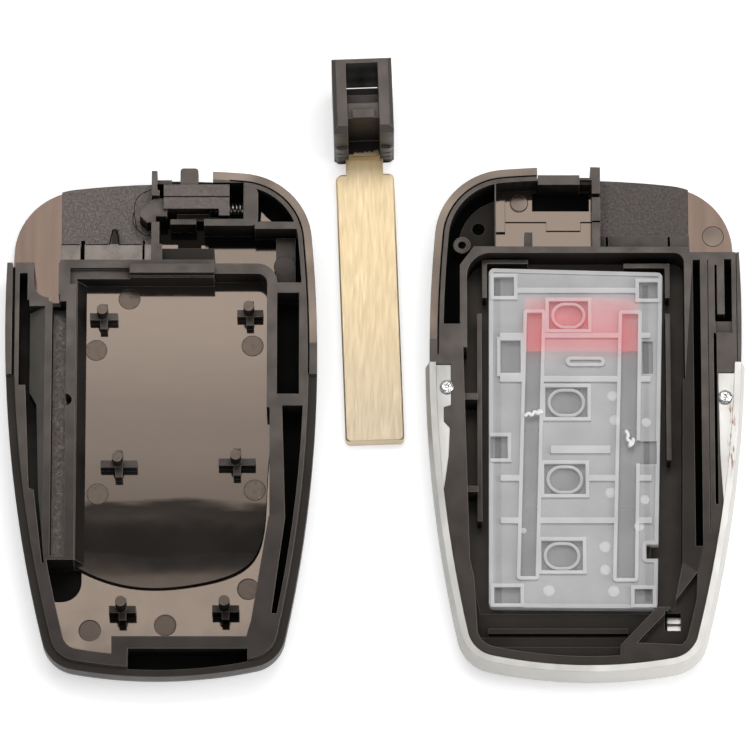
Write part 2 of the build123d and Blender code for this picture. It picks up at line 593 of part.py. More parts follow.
# Front half
FLANGE_LEFT = (
    (LEFT + 0.7, TRIM_TOP - 0.3),
    (LEFT + FLANGE_INSIDE, TRIM_TOP - 0.3),
    (LEFT + FLANGE_INSIDE, 2.0),
    (LEFT + 2.3, 1.6),
    (LEFT + 2.3, -0.5),
    (LEFT + 3.2, -1.5),
    (LEFT + 3.0, -6.0),
    (LEFT + 2.3, -11.0),
    (LEFT + 0.3, -8.0),
)
FLANGE_RIGHT = (
    (RIGHT - FLANGE_INSIDE, TRIM_TOP - 1.6),
    (RIGHT - 0.3, TRIM_TOP - 1.6),
    (RIGHT - 0.9, -8.0),
    (RIGHT - 2.7, -14.6),
    (RIGHT - 3.2, -6.0),
)
STAKES = ((LEFT + 2.75, 4.8), (RIGHT - 2.4, 3.2))
button_rows = [BUTTON_ROW - BUTTON_PITCH * row for row in range(len(BUTTON_NAMES))]

with BuildPart() as front_cover:
    add(shell_blank(-LEAN))

    # Step round the lower sides for the silver trim, and flats for its flanges
    with BuildSketch(Plane.XY.offset(TRIM_LOW)):
        add(fob_outline(-1, -LEAN))
        add(fob_outline(TRIM_WALL, -LEAN), mode=Mode.SUBTRACT)
        rectangle(-BEYOND, BEYOND, -BEYOND, TRIM_TOP, mode=Mode.INTERSECT)
    extrude(amount=RIM + OVER, mode=Mode.SUBTRACT)
    with BuildSketch(Plane.XY.offset(FLANGE_TOP - FLANGE_SHEET)):
        Polygon(*FLANGE_LEFT, align=None)
        Polygon(*FLANGE_RIGHT, align=None)
    extrude(amount=OVER, mode=Mode.SUBTRACT)
    with BuildSketch(Plane.XY.offset(FLANGE_TOP - 2)):
        with Locations(*STAKES):
            Circle(STAKE_RADIUS)
    extrude(amount=RIM - FLANGE_TOP + 2)

    # Polished edge round the crown with a groove inside it, and the deep hollow beside the well
    with BuildSketch(Plane.XY.offset(RIM - STRIP_DROP)):
        add(fob_outline(-1, -LEAN))
        add(fob_outline(RIM_STRIP + RIM_GROOVE / 2, -LEAN), mode=Mode.SUBTRACT)
        rectangle(-BEYOND, -6.9, STRIP_FOOT, BEYOND, mode=Mode.INTERSECT)
    extrude(amount=OVER, mode=Mode.SUBTRACT)
    with BuildSketch(Plane.XY.offset(RIM - GROOVE_DEPTH)):
        add(fob_outline(RIM_STRIP, -LEAN))
        add(fob_outline(RIM_STRIP + RIM_GROOVE, -LEAN), mode=Mode.SUBTRACT)
        rectangle(-BEYOND, -6.9, STRIP_FOOT - 2.4, BEYOND, mode=Mode.INTERSECT)
    extrude(amount=OVER + GROOVE_DEPTH, mode=Mode.SUBTRACT)
    with BuildSketch(Plane.XY.offset(DEEP)):
        rectangle(-BEYOND, PAD_WELL_LEFT - 1.05, TOP - 24.8, TOP - 14.5)
        rectangle(-BEYOND, PAD_WELL_LEFT + 4.2, PAD_WELL_TOP + 1.0, BEYOND)
        Polygon(
            (-BEYOND, TOP - 15.5),
            (PAD_WELL_LEFT - 1.05, TOP - 15.5),
            (PAD_WELL_LEFT + 1.5, TOP - 12.0),
            (-BEYOND, TOP - 12.0),
            align=None,
        )
        add(fob_outline(INNER, -LEAN), mode=Mode.INTERSECT)
    extrude(amount=RIM + OVER, mode=Mode.SUBTRACT)
    with BuildSketch(Plane.XY.offset(DEEP - ROOT)):
        rectangle(-BEYOND, PAD_WELL_LEFT + 4.4, PAD_WELL_TOP + 0.9, BEYOND)
        add(fob_outline(3.6, -LEAN), mode=Mode.INTERSECT)
        with Locations((PAD_WELL_LEFT + 1.8, TOP - 8.7)):
            Circle(0.95, mode=Mode.SUBTRACT)
    extrude(amount=2.1)
    with BuildSketch(Plane.XY.offset(DEEP - ROOT)):
        with Locations((PAD_WELL_LEFT - 0.7, TOP - 11.8)):
            Circle(1.3)
            Circle(0.6, mode=Mode.SUBTRACT)
    extrude(amount=3.9)

    # Polished floor beside the latch's place, with its strip, steps, pocket, mark and rib
    with BuildSketch(Plane.XY.offset(HEAD_FLOOR)):
        rectangle(-13.1, 1.3, PAD_WELL_TOP + 1.0, BEYOND)
        add(fob_outline(INNER, -LEAN), mode=Mode.INTERSECT)
    extrude(amount=RIM + OVER, mode=Mode.SUBTRACT)
    with BuildSketch(Plane.XY.offset(SKIN)):
        rectangle(-13.1, -11.7, TOP - 8.9, TOP - 2.5)
    extrude(amount=HEAD_FLOOR + 2 * STEP - SKIN)
    with BuildSketch(Plane.XY.offset(SKIN)):
        rectangle(-11.8, 1.4, TOP - 7.2, TOP - 2.0)
        rectangle(-5.5, -0.35, TOP - 8.6, TOP - 6)
    extrude(amount=HEAD_FLOOR + STEP - SKIN)
    with BuildSketch(Plane.XY.offset(SKIN - POCKET_DROP)):
        rectangle(-7.6, 0.95, TOP - 5.5, TOP - 2.6)
    extrude(amount=RIM, mode=Mode.SUBTRACT)
    with BuildSketch(Plane.XY.offset(SKIN)):
        with Locations((-9.6, TOP - 4.3)):
            Circle(1.35)
    extrude(amount=HEAD_FLOOR + 1.5 * STEP - SKIN)
    with BuildSketch(Plane.XY.offset(SKIN)):
        rectangle(-8.8, -7.6, PAD_WELL_TOP + 1.9, TOP - 9.3)
    extrude(amount=HEAD_FLOOR + 1.6 - SKIN)

    # Crown beside the latch: cut down to a low sill, with a bar and a link behind it
    with BuildSketch(Plane.XY.offset(SILL)):
        rectangle(-6.9, 1.05, TOP - 1.9, BEYOND)
    extrude(amount=RIM + OVER, mode=Mode.SUBTRACT)
    with BuildSketch(Plane.XY.offset(SKIN)):
        rectangle(-6.8, -0.55, TOP - 2.8, TOP - 1.3)
    extrude(amount=RIM - SKIN)
    with BuildSketch(Plane.XY.offset(SKIN)):
        rectangle(-0.6, 1.3, TOP - 2.4, TOP - 1.7)
    extrude(amount=NOSE_TOP - SKIN)

    # Key head's pocket, ledge and the corner that is open for the key ring
    with BuildSketch(Plane.XY.offset(HEAD_FLOOR)):
        rectangle(2.55, FRONT_HEAD_RIGHT, TOP - 10.2, BEYOND)
    extrude(amount=RIM + OVER, mode=Mode.SUBTRACT)
    with BuildSketch(Plane.XY.offset(CORNER_FLOOR)):
        rectangle(FRONT_HEAD_RIGHT, BEYOND, TOP - 13.5, BEYOND)
    extrude(amount=RIM + OVER, mode=Mode.SUBTRACT)
    with BuildSketch(Plane.XY.offset(LEDGE)):
        rectangle(2.5, FRONT_HEAD_RIGHT, PAD_WELL_TOP + 0.95, TOP - 9.5)
        rectangle(1.2, 2.6, TOP - 8.8, TOP - 8.5)
        rectangle(1.2, 2.6, TOP - 4.8, TOP - 4.2)
    extrude(amount=RIM + OVER, mode=Mode.SUBTRACT)
    with BuildSketch(Plane.XY.offset(DEEP)):
        rectangle(3.35, 3.75, PAD_WELL_TOP + 1.4, TOP - 9.5)
        rectangle(FRONT_HEAD_RIGHT - 3.25, FRONT_HEAD_RIGHT - 2.85, PAD_WELL_TOP + 1.4, TOP - 9.5)
    extrude(amount=RIM + OVER, mode=Mode.SUBTRACT)

    # Well of the pad, and the stepped ledges at the foot
    with BuildSketch(Plane.XY.offset(SKIN)) as pad_well:
        rectangle(PAD_WELL_LEFT, PAD_WELL_RIGHT, 6.0, PAD_WELL_TOP)
        fillet(pad_well.vertices().group_by(Axis.Y)[-1].sort_by(Axis.X)[0], PAD_WELL_CORNER)
        fillet(pad_well.vertices().group_by(Axis.Y)[-1].sort_by(Axis.X)[-1], WELL_CORNER)
        Polygon(
            (PAD_WELL_LEFT - 0.6, 11.0),
            (PAD_WELL_RIGHT - 0.3, 11.0),
            (PAD_WELL_RIGHT - 0.7, BOTTOM + 16.9),
            (PAD_WELL_RIGHT - 2.0, BOTTOM + 10.0),
            (PAD_WELL_LEFT + 1.9, BOTTOM + 10.0),
            (PAD_WELL_LEFT + 0.3, BOTTOM + 17.4),
            align=None,
        )
    extrude(amount=RIM + OVER, mode=Mode.SUBTRACT)
    for floor, low, high in FOOT_LEDGES:
        with BuildSketch(Plane.XY.offset(floor)):
            add(fob_outline(2.4, -LEAN))
            Polygon(
                (PAD_WELL_LEFT + 0.9, BOTTOM + 15.4),
                (PAD_WELL_RIGHT - 1.6, BOTTOM + 15.4),
                (PAD_WELL_RIGHT - 3.4, BOTTOM + 11.2),
                (5.0, BOTTOM + 4.1),
                (5.0, -BEYOND),
                (PAD_WELL_LEFT + 3.0, -BEYOND),
                align=None,
                mode=Mode.INTERSECT,
            )
            rectangle(-BEYOND, BEYOND, BOTTOM + low, BOTTOM + high, mode=Mode.INTERSECT)
        extrude(amount=RIM + OVER, mode=Mode.SUBTRACT)
    with BuildSketch(Plane.XY.offset(PAD_SEAT - ROOT)):
        rectangle(PAD_WELL_LEFT + 3.0, 6.2, BOTTOM + 6.5, BOTTOM + 7.3)
    extrude(amount=LEDGE - PAD_SEAT + ROOT)
    with BuildSketch(Plane.XY.offset(RIM - 1.4)):
        Polygon(
            (PAD_WELL_RIGHT - 7.5, BOTTOM + 4.5),
            (PAD_WELL_RIGHT - 3.1, BOTTOM + 9.2),
            (PAD_WELL_RIGHT + 1.5, BOTTOM + 15.4),
            (PAD_WELL_RIGHT + 1.2, BOTTOM + 4.1),
            align=None,
        )
        add(fob_outline(2.4, -LEAN), mode=Mode.INTERSECT)
    extrude(amount=RIM + OVER, mode=Mode.SUBTRACT)

    # Ribs that stand round the pad, and the rails that it rests on
    with BuildSketch(Plane.XY.offset(SKIN - ROOT)):
        rectangle(PAD_LEFT - PAD_GAP - RIB, PAD_LEFT - PAD_GAP, PAD_CROWN - 4.8, PAD_CROWN + 1.2)
        rectangle(PAD_LEFT - PAD_GAP - RIB, PAD_LEFT + 5.9, PAD_CROWN + 0.6, PAD_CROWN + 1.2)
        rectangle(PAD_RIGHT + PAD_GAP, PAD_RIGHT + PAD_GAP + RIB, PAD_CROWN - 4.8, PAD_CROWN + 0.6)
        rectangle(PAD_RIGHT - 5.9, PAD_RIGHT + PAD_GAP + RIB, PAD_CROWN - 0.1, PAD_CROWN + 0.6)
        rectangle(PAD_LEFT - 1.1 - RIB, PAD_LEFT - 1.1, -15.5, 17.0)
        rectangle(PAD_RIGHT + PAD_GAP, PAD_RIGHT + PAD_GAP + RIB, -6.0, 17.0)
    extrude(amount=LEDGE - SKIN + ROOT)
    with BuildSketch(Plane.XY.offset(SKIN - ROOT)):
        rectangle(PAD_LEFT + 0.8, PAD_LEFT + 1.8, PAD_FOOT + 1.0, PAD_CROWN - 1.3)
        rectangle(FLANGE_RIGHT_EDGE + 0.4, FLANGE_RIGHT_EDGE + 1.3, PAD_FOOT + 1.5, PAD_CROWN - 2.3)
    extrude(amount=PAD_SEAT - SKIN + ROOT)
    with BuildSketch(Plane.XY.offset(SKIN - ROOT)):
        rectangle(PAD_WELL_LEFT - 0.8, PAD_LEFT - 1.7, 3.0, 4.0)
        rectangle(PAD_WELL_LEFT - 0.8, PAD_LEFT - 1.7, -11.4, -10.5)
    extrude(amount=RIM - 0.6 - SKIN + ROOT)

    # Right side: the blade's channel, the loop slot and the lines of the bracket
    with BuildSketch(Plane.XY.offset(CHANNEL_FLOOR)):
        rectangle(RIGHT - 7.0, RIGHT - 5.9, BOTTOM + 19.4, TOP - 14.7)
        rectangle(RIGHT - 2.3, RIGHT - 1.2, 15.2, TOP - 14.6)
        rectangle(RIGHT - 3.7, RIGHT - 1.2, 15.2, 16.2)
        rectangle(RIGHT - 3.75, RIGHT - 3.4, 15.2, TOP - 15.5)
        rectangle(RIGHT - 4.0, RIGHT - 3.55, -13.5, 13.3)
    extrude(amount=RIM + OVER, mode=Mode.SUBTRACT)
    with BuildSketch(Plane.XY.offset(RIM - 0.5)):
        rectangle(RIGHT - 4.85, RIGHT - 4.7, -18.0, TOP - 14.7)
        rectangle(RIGHT - 0.55, RIGHT - 0.4, 7.6, TOP - 13.5)
        rectangle(RIGHT - 3.7, RIGHT - 1.2, 13.3, 15.3)
    extrude(amount=OVER, mode=Mode.SUBTRACT)

    # Window in which the trim's hook shows
    with BuildSketch(Plane.XY.offset(HOOK_LOW - TRIM_FIT)):
        rectangle(PAD_WELL_RIGHT - 3.2, BEYOND, HOOK_FOOT, HOOK_HEAD)
    extrude(amount=HOOK_TOP - HOOK_LOW + 2 * TRIM_FIT, mode=Mode.SUBTRACT)
    with BuildSketch(Plane.XY.offset(HOOK_LOW)):
        rectangle(PAD_WELL_RIGHT - 3.4, PAD_WELL_RIGHT - 1.0, HOOK_FOOT - 0.2, HOOK_HEAD + 0.2)
    extrude(amount=RIM, mode=Mode.SUBTRACT)

    # Openings of the buttons
    with BuildSketch(Plane.XY.offset(-1)):
        for row in button_rows:
            with Locations((BUTTON_X, row)):
                RectangleRounded(
                    BUTTON_WIDTH + 2 * BUTTON_GAP, BUTTON_LENGTH + 2 * BUTTON_GAP, BUTTON_CORNER + BUTTON_GAP
                )
    extrude(amount=SKIN + 1.2, mode=Mode.SUBTRACT)
front_cover.part.label = "front_cover"

# Silver trim: a wall that swells outwards, two staked flanges and a hook
with BuildPart() as silver_trim:
    for swell, height in TRIM_SECTIONS:
        with BuildSketch(Plane.XY.offset(height)):
            add(fob_outline(-swell, -LEAN))
    loft()
    with BuildSketch(Plane.XY):
        add(fob_outline(TRIM_WALL - TRIM_FIT, -LEAN))
    extrude(amount=RIM + OVER, mode=Mode.SUBTRACT)
    with BuildSketch(Plane.XY):
        rectangle(-BEYOND, BEYOND, -BEYOND, TRIM_TOP - TRIM_FIT)
    extrude(amount=RIM + OVER, mode=Mode.INTERSECT)
    with BuildSketch(Plane.XY.offset(FLANGE_TOP - FLANGE_SHEET + TRIM_FIT)):
        Polygon(*FLANGE_LEFT, align=None)
        Polygon(*FLANGE_RIGHT, align=None)
        add(fob_outline(TRIM_WALL - ROOT, -LEAN), mode=Mode.INTERSECT)
        rectangle(
            LEFT + FLANGE_INSIDE - TRIM_FIT,
            RIGHT - FLANGE_INSIDE + TRIM_FIT,
            -BEYOND,
            BEYOND,
            mode=Mode.SUBTRACT,
        )
        with Locations(*STAKES):
            Circle(STAKE_RADIUS + TRIM_FIT, mode=Mode.SUBTRACT)
    extrude(amount=FLANGE_SHEET - TRIM_FIT)
    with BuildSketch(Plane.XY.offset(HOOK_LOW)):
        rectangle(PAD_WELL_RIGHT - 3.0, BEYOND, HOOK_FOOT + TRIM_FIT, HOOK_HEAD - TRIM_FIT)
        add(fob_outline(TRIM_WALL - ROOT, -LEAN), mode=Mode.INTERSECT)
    extrude(amount=HOOK_TOP - HOOK_LOW)
    with BuildSketch(Plane.XY.offset(HOOK_TOP - 0.6)):
        rectangle(PAD_WELL_RIGHT - 4.0, PAD_WELL_RIGHT - 0.8, HOOK_FOOT + 0.8, HOOK_FOOT + 1.3)
    extrude(amount=OVER, mode=Mode.SUBTRACT)
silver_trim.part.label = "silver_trim"

# Translucent pad: a slightly tapered sheet with ribs, sunk windows and long slots
PAD_CORNERS = (
    (PAD_LEFT, PAD_CROWN),
    (PAD_RIGHT, PAD_CROWN - 0.7),
    (PAD_RIGHT - 1.3, PAD_FOOT),
    (PAD_LEFT - 0.2, PAD_FOOT + 0.2),
)
DOMES = (
    (BUTTON_X - 2.1, 16.8, 5.85, 4.4),
    (BUTTON_X - 2.5, 3.1, 6.3, 4.7),
    (BUTTON_X - 2.8, -8.9, 6.15, 4.7),
    (BUTTON_X - 3.3, -20.8, 6.15, 4.6),
)
SLOT_LEFT = ((-8.5, 17.15), (-6.25, 17.15), (-7.45, -24.0), (-9.7, -24.0))
SLOT_RIGHT = ((5.75, 17.0), (8.15, 17.0), (7.25, -24.3), (4.55, -24.3))
PAD_RECESSES = (
    (PAD_LEFT + 0.75, PAD_LEFT + 3.75, PAD_CROWN - 4.5, PAD_CROWN - 1.5),
    (PAD_RIGHT - 3.6, PAD_RIGHT - 0.8, PAD_CROWN - 4.9, PAD_CROWN - 2.3),
    (PAD_LEFT + 0.6, PAD_LEFT + 4.5, PAD_FOOT + 0.8, PAD_FOOT + 3.3),
    (PAD_RIGHT - 4.7, PAD_RIGHT - 2.0, PAD_FOOT + 0.7, PAD_FOOT + 3.0),
    (PAD_LEFT + 0.1, PAD_LEFT + 2.7, -5.7, -2.25),
    (PAD_LEFT + 1.7, PAD_LEFT + 4.7, 7.7, 12.8),
)
with BuildPart() as keypad_pad:
    with BuildSketch(Plane.XY.offset(PAD_SEAT)) as pad_plan:
        Polygon(*PAD_CORNERS, align=None)
        fillet(pad_plan.vertices(), 0.8)
        rectangle(PAD_RIGHT - 2.85, BEYOND, PAD_FOOT + 7.8, PAD_FOOT + 9.9, mode=Mode.SUBTRACT)
    extrude(amount=PAD_THICKNESS)

    # Raised rim, cross ribs and frames
    with BuildSketch(Plane.XY.offset(PAD_TOP - ROOT)):
        add(offset(pad_plan.sketch, amount=-0.05, mode=Mode.PRIVATE))
        add(offset(pad_plan.sketch, amount=-0.65, mode=Mode.PRIVATE), mode=Mode.SUBTRACT)
    extrude(amount=PAD_RIB * 0.6 + ROOT)
    with BuildSketch(Plane.XY.offset(PAD_TOP - ROOT)):
        rectangle(PAD_LEFT + 3.9, PAD_RIGHT - 3.7, PAD_CROWN - 4.0, PAD_CROWN - 3.2)
        for low, high in ((13.2, 14.0), (6.3, 7.2), (-9.2, -8.3), (-15.8, -14.9)):
            rectangle(PAD_LEFT + 1.6, PAD_RIGHT - 2.0, low, high)
        rectangle(-5.1, 3.8, -4.9, -3.7)
        with Locations((BUTTON_X + 0.4, 9.5)):
            SlotOverall(5.9, 1.5)
            SlotOverall(4.7, 0.5, mode=Mode.SUBTRACT)
        for x, y, width, length in DOMES:
            with Locations((x, y)):
                Rectangle(width + 2 * PAD_FRAME, length + 2 * PAD_FRAME)
        for left, right, low, high in PAD_RECESSES:
            rectangle(max(left - PAD_FRAME, PAD_LEFT), right + PAD_FRAME, low - PAD_FRAME, high + PAD_FRAME)
        for slot in (SLOT_LEFT, SLOT_RIGHT):
            with BuildLine():
                edge = Polyline(*slot, close=True)
            add(offset(make_face(edge.edges(), mode=Mode.PRIVATE), amount=PAD_FRAME, mode=Mode.PRIVATE))
    extrude(amount=PAD_RIB + ROOT)

    # Sunk windows with a ring in each, slots and corner recesses
    with BuildSketch(Plane.XY.offset(PAD_SEAT + THIN_FLOOR)):
        for x, y, width, length in DOMES:
            with Locations((x, y)):
                Rectangle(width, length)
        for left, right, low, high in PAD_RECESSES:
            rectangle(left, right, low, high)
        rectangle(PAD_RIGHT - 4.7, PAD_RIGHT - 1.2, -6.5, -2.9)
        rectangle(PAD_RIGHT - 3.2, PAD_RIGHT - 1.6, 7.7, 12.8)
        Polygon(*SLOT_LEFT, align=None)
        Polygon(*SLOT_RIGHT, align=None)
    extrude(amount=RIM, mode=Mode.SUBTRACT)
    with BuildSketch(Plane.XY.offset(PAD_SEAT + RING_FLOOR)):
        for x, y, width, length in DOMES:
            with Locations((x, y)):
                SlotOverall(width - 0.7, length - 0.3)
                SlotOverall(width - 1.6, length - 1.2, mode=Mode.SUBTRACT)
    extrude(amount=PAD_THICKNESS - 0.1)
keypad_pad.part.label = "keypad_pad"

# The four buttons: face, flange behind the opening, and a boss that meets the pad
buttons = []
for name, row in zip(BUTTON_NAMES, button_rows):
    with BuildPart() as button:
        with BuildSketch(Plane.XY.offset(BUTTON_FACE)):
            with Locations((BUTTON_X, row)):
                RectangleRounded(BUTTON_WIDTH, BUTTON_LENGTH, BUTTON_CORNER)
        extrude(amount=FLANGE_LOW - BUTTON_FACE)
        chamfer(button.edges().group_by(Axis.Z)[0], BUTTON_EDGE)
        with BuildSketch(Plane.XY.offset(FLANGE_LOW)):
            with Locations((BUTTON_X, row)):
                Rectangle(BUTTON_WIDTH + 2 * BUTTON_FLANGE, BUTTON_LENGTH + 2 * BUTTON_FLANGE)
        extrude(amount=FLANGE_THICKNESS)
        with BuildSketch(Plane.XY.offset(FLANGE_LOW)):
            with Locations((BUTTON_X + BOSS_SHIFT, row)):
                RectangleRounded(5.0, 3.4, 1.0)
        extrude(amount=PAD_SEAT - BUTTON_TRAVEL - BUTTON_SPARE - FLANGE_LOW)
    button.part.label = name
    buttons.append(button.part)

# Emergency key: a plain flat blade, uncut, with a narrow neck
with BuildPart() as key_blade:
    with BuildSketch() as blade_plan:
        rectangle(-BLADE_WIDTH / 2, BLADE_WIDTH / 2, -BLADE_LENGTH, 0)
        fillet(blade_plan.vertices().group_by(Axis.Y)[0], BLADE_CORNER)
        fillet(blade_plan.vertices().group_by(Axis.Y)[-1], BLADE_CORNER + 0.1)
        rectangle(-NECK_WIDTH / 2, NECK_WIDTH / 2, -1, NECK_LENGTH + TANG_LENGTH)
    extrude(amount=BLADE_THICKNESS)
    chamfer(key_blade.edges().group_by(Axis.Z)[-1].filter_by(GeomType.LINE).sort_by(SortBy.LENGTH)[-2:], 0.2)
key_blade.part.label = "key_blade"

# Key head: two rails with a key ring window between them, on a grooved collar
with BuildPart() as key_head:
    with BuildSketch(Plane.YZ) as head_side:
        with BuildLine():
            Polyline(
                (NECK_LENGTH + 0.4, 0),
                (HEAD_END - 1.6, 0),
                (HEAD_END, 3.0),
                (HEAD_END, HEAD_HEIGHT - 1.2),
                (HEAD_END - 0.5, HEAD_HEIGHT),
                (NECK_LENGTH + 1.2, HEAD_HEIGHT),
                (NECK_LENGTH + 0.3, HEAD_HEIGHT - 1.2),
                (NECK_LENGTH + 0.4, 0),
            )
        make_face()
    extrude(amount=HEAD_WIDTH / 2, both=True)
    chamfer(key_head.edges().filter_by(Axis.Y).group_by(Axis.Z)[-1], 0.6)

    # Collar round the neck
    with BuildSketch(Plane.XY) as collar:
        rectangle(-HEAD_WIDTH / 2 + 0.1, HEAD_WIDTH / 2 - 0.1, NECK_LENGTH, NECK_LENGTH + 4)
        fillet(collar.vertices().group_by(Axis.Y)[0], 0.8)
    extrude(amount=COLLAR_HEIGHT)
    for height in (COLLAR_HEIGHT - 3.8, COLLAR_HEIGHT - 2.2):
        with BuildSketch(Plane.XY.offset(height)):
            rectangle(-HEAD_WIDTH, HEAD_WIDTH, NECK_LENGTH - 1, NECK_LENGTH + 0.25)
        extrude(amount=0.45, mode=Mode.SUBTRACT)

    # Window for the key ring, open below its far wall
    with BuildSketch(Plane.XY.offset(-1)):
        rectangle(-GAP_HALF, GAP_HALF, HEAD_END - END_BAR - WINDOW_LENGTH, HEAD_END - END_BAR)
    extrude(amount=HEAD_HEIGHT + 2, mode=Mode.SUBTRACT)
    with BuildSketch(Plane.XY.offset(-1)):
        rectangle(-GAP_HALF, GAP_HALF, HEAD_END - END_BAR - WINDOW_LENGTH, HEAD_END + 1)
    extrude(amount=4.0, mode=Mode.SUBTRACT)

    # Sunk bar and ledge between the rails
    with BuildSketch(Plane.XY.offset(HEAD_HEIGHT - 2.4)):
        rectangle(-GAP_HALF, GAP_HALF, HEAD_END - 7.3, HEAD_END - 4.6)
    extrude(amount=OVER, mode=Mode.SUBTRACT)
    with BuildSketch(Plane.XY.offset(HEAD_HEIGHT - 0.6)):
        rectangle(-GAP_HALF, GAP_HALF, NECK_LENGTH + 2.5, HEAD_END - 6.6)
    extrude(amount=OVER, mode=Mode.SUBTRACT)
    with BuildSketch(Plane.XY.offset(HEAD_HEIGHT - 1)):
        rectangle(-1.6, 1.6, NECK_LENGTH + 2.5, NECK_LENGTH + 3.8)
    extrude(amount=0.8)

    # Recess in the face towards the blade
    with BuildSketch(Plane.XY.offset(BLADE_THICKNESS + 1.2)):
        rectangle(-GAP_HALF, GAP_HALF, 0, NECK_LENGTH + 2.5)
    extrude(amount=HEAD_HEIGHT, mode=Mode.SUBTRACT)

    # Seat of the blade's tang
    with BuildSketch(Plane.XY.offset(-1)):
        rectangle(-NECK_WIDTH / 2, NECK_WIDTH / 2, 0, NECK_LENGTH + TANG_LENGTH)
    extrude(amount=BLADE_THICKNESS + 1, mode=Mode.SUBTRACT)
key_head.part.label = "key_head"

# Each piece is moved to its place in the layout and written
back_place = Location((BACK_X, BACK_Y, 0))
front_place = Location((FRONT_X, FRONT_Y, 0))
key_place = Location((KEY_X, KEY_Y, 0), (0, 0, KEY_TILT))
placed = [(piece.part, back_place) for piece in (back_cover, latch_slider, latch_spring)]
placed += [(piece.part, front_place) for piece in (front_cover, silver_trim, keypad_pad)]
placed += [(button, front_place) for button in buttons]
placed += [(piece.part, key_place) for piece in (key_blade, key_head)]
for piece, place in placed:
    moved = place * piece
    moved.label = piece.label
    export_step(moved, f"parts/{piece.label}.step")
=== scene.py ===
import bpy
import bmesh
from math import cos, hypot, pi, radians, sin
from mathutils import Matrix, Vector


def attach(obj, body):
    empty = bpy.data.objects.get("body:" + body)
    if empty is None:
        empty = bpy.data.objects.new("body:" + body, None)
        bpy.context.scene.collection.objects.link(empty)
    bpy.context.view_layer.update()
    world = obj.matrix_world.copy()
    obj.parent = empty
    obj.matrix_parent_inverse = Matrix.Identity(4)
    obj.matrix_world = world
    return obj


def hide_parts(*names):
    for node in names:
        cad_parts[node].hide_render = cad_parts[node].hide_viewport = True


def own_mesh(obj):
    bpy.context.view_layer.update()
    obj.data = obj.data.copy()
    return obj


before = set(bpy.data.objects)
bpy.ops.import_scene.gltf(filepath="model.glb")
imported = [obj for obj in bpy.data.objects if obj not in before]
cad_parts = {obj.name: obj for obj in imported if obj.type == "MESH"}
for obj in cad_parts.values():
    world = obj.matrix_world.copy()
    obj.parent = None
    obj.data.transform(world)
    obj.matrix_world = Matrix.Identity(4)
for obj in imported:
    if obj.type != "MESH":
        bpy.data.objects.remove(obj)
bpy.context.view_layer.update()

# The key fob shell lies open on a white table: back half on the left, front half on the right,
# the emergency key between them. Lengths are metres; MM turns a measured millimetre into them.
MM = 0.001

# Middles of the two halves and of the key, as the source places them
BACK = Vector((-31.74, -8.07, 0)) * MM
FRONT = Vector((31.26, -7.47, 0)) * MM
KEY = Vector((-1.54, 32.73, 0)) * MM
KEY_TILT = radians(2.1)

# Camera of the photograph
IMAGE = 750
SCALE = 0.15 * MM  # size of a pixel at the object
ELEVATION = radians(72)
DISTANCE = 1.3
SENSOR = 36.0
FAR = 20
AIM = Vector((0, 1.5, 0)) * MM


def on_back(u, v, z=0.0):
    """A point of the back half, from millimetres about its own middle."""
    return BACK + Vector((u, v, z)) * MM


def on_front(u, v, z=0.0):
    """A point of the front half, from millimetres about its own middle."""
    return FRONT + Vector((u, v, z)) * MM


def on_key(u, v, z=0.0):
    """A point of the emergency key, from millimetres about the shoulders of its blade."""
    return KEY + Matrix.Rotation(KEY_TILT, 3, "Z") @ (Vector((u, v, z)) * MM)


# Camera, light, floor


def add_camera():
    """A long lens at the photograph's angle and framing."""
    data = bpy.data.cameras.new("camera")
    data.sensor_width = SENSOR
    data.lens = SENSOR * DISTANCE / (SCALE * IMAGE)
    data.clip_end = FAR
    camera = bpy.data.objects.new("camera", data)
    bpy.context.scene.collection.objects.link(camera)
    camera.location = AIM + DISTANCE * Vector((0, -cos(ELEVATION), sin(ELEVATION)))
    camera.rotation_euler = (pi / 2 - ELEVATION, 0, 0)
    bpy.context.scene.camera = camera


def add_softbox(name, middle, size, watts, glossy=True):
    """A lamp aimed at the table's middle. The camera doesn't see it, and reflections only if glossy."""
    data = bpy.data.lights.new(name, "AREA")
    data.shape = "RECTANGLE"
    data.size, data.size_y = size
    data.energy = watts
    lamp = bpy.data.objects.new(name, data)
    bpy.context.scene.collection.objects.link(lamp)
    lamp.location = middle
    lamp.rotation_euler = (Vector((0, 0, 0)) - Vector(middle)).to_track_quat("-Z", "Y").to_euler()
    lamp.visible_camera = False
    lamp.visible_glossy = glossy


SKY = ((0.1, 0.5), (0.75, 0.12))  # how far a direction points up, and the world's grey there


def add_world():
    """Dim overhead and brighter towards the horizon, and plain white behind the camera's view."""
    world = bpy.data.worlds.new("world")
    bpy.context.scene.world = world
    world.use_nodes = True
    tree = world.node_tree
    background = tree.nodes["Background"]
    direction = tree.nodes.new("ShaderNodeTexCoord")
    split = tree.nodes.new("ShaderNodeSeparateXYZ")
    tree.links.new(direction.outputs["Generated"], split.inputs[0])
    ramp = tree.nodes.new("ShaderNodeValToRGB")
    for element, (height, grey) in zip(ramp.color_ramp.elements, SKY):
        element.position = height
        element.color = (grey, grey, grey, 1)
    tree.links.new(split.outputs["Z"], ramp.inputs[0])
    tree.links.new(ramp.outputs[0], background.inputs["Color"])
    white = tree.nodes.new("ShaderNodeBackground")
    white.inputs["Color"].default_value = (1, 1, 1, 1)
    path = tree.nodes.new("ShaderNodeLightPath")
    mix = tree.nodes.new("ShaderNodeMixShader")
    tree.links.new(path.outputs["Is Camera Ray"], mix.inputs[0])
    tree.links.new(background.outputs[0], mix.inputs[1])
    tree.links.new(white.outputs[0], mix.inputs[2])
    tree.links.new(mix.outputs[0], tree.nodes["World Output"].inputs["Surface"])


TABLE_SIZE = 6
TABLE_HEIGHT = -0.00002
TABLE_GREY = 0.86
TABLE_GLOW = 0.4  # added where the camera or a reflection sees the table


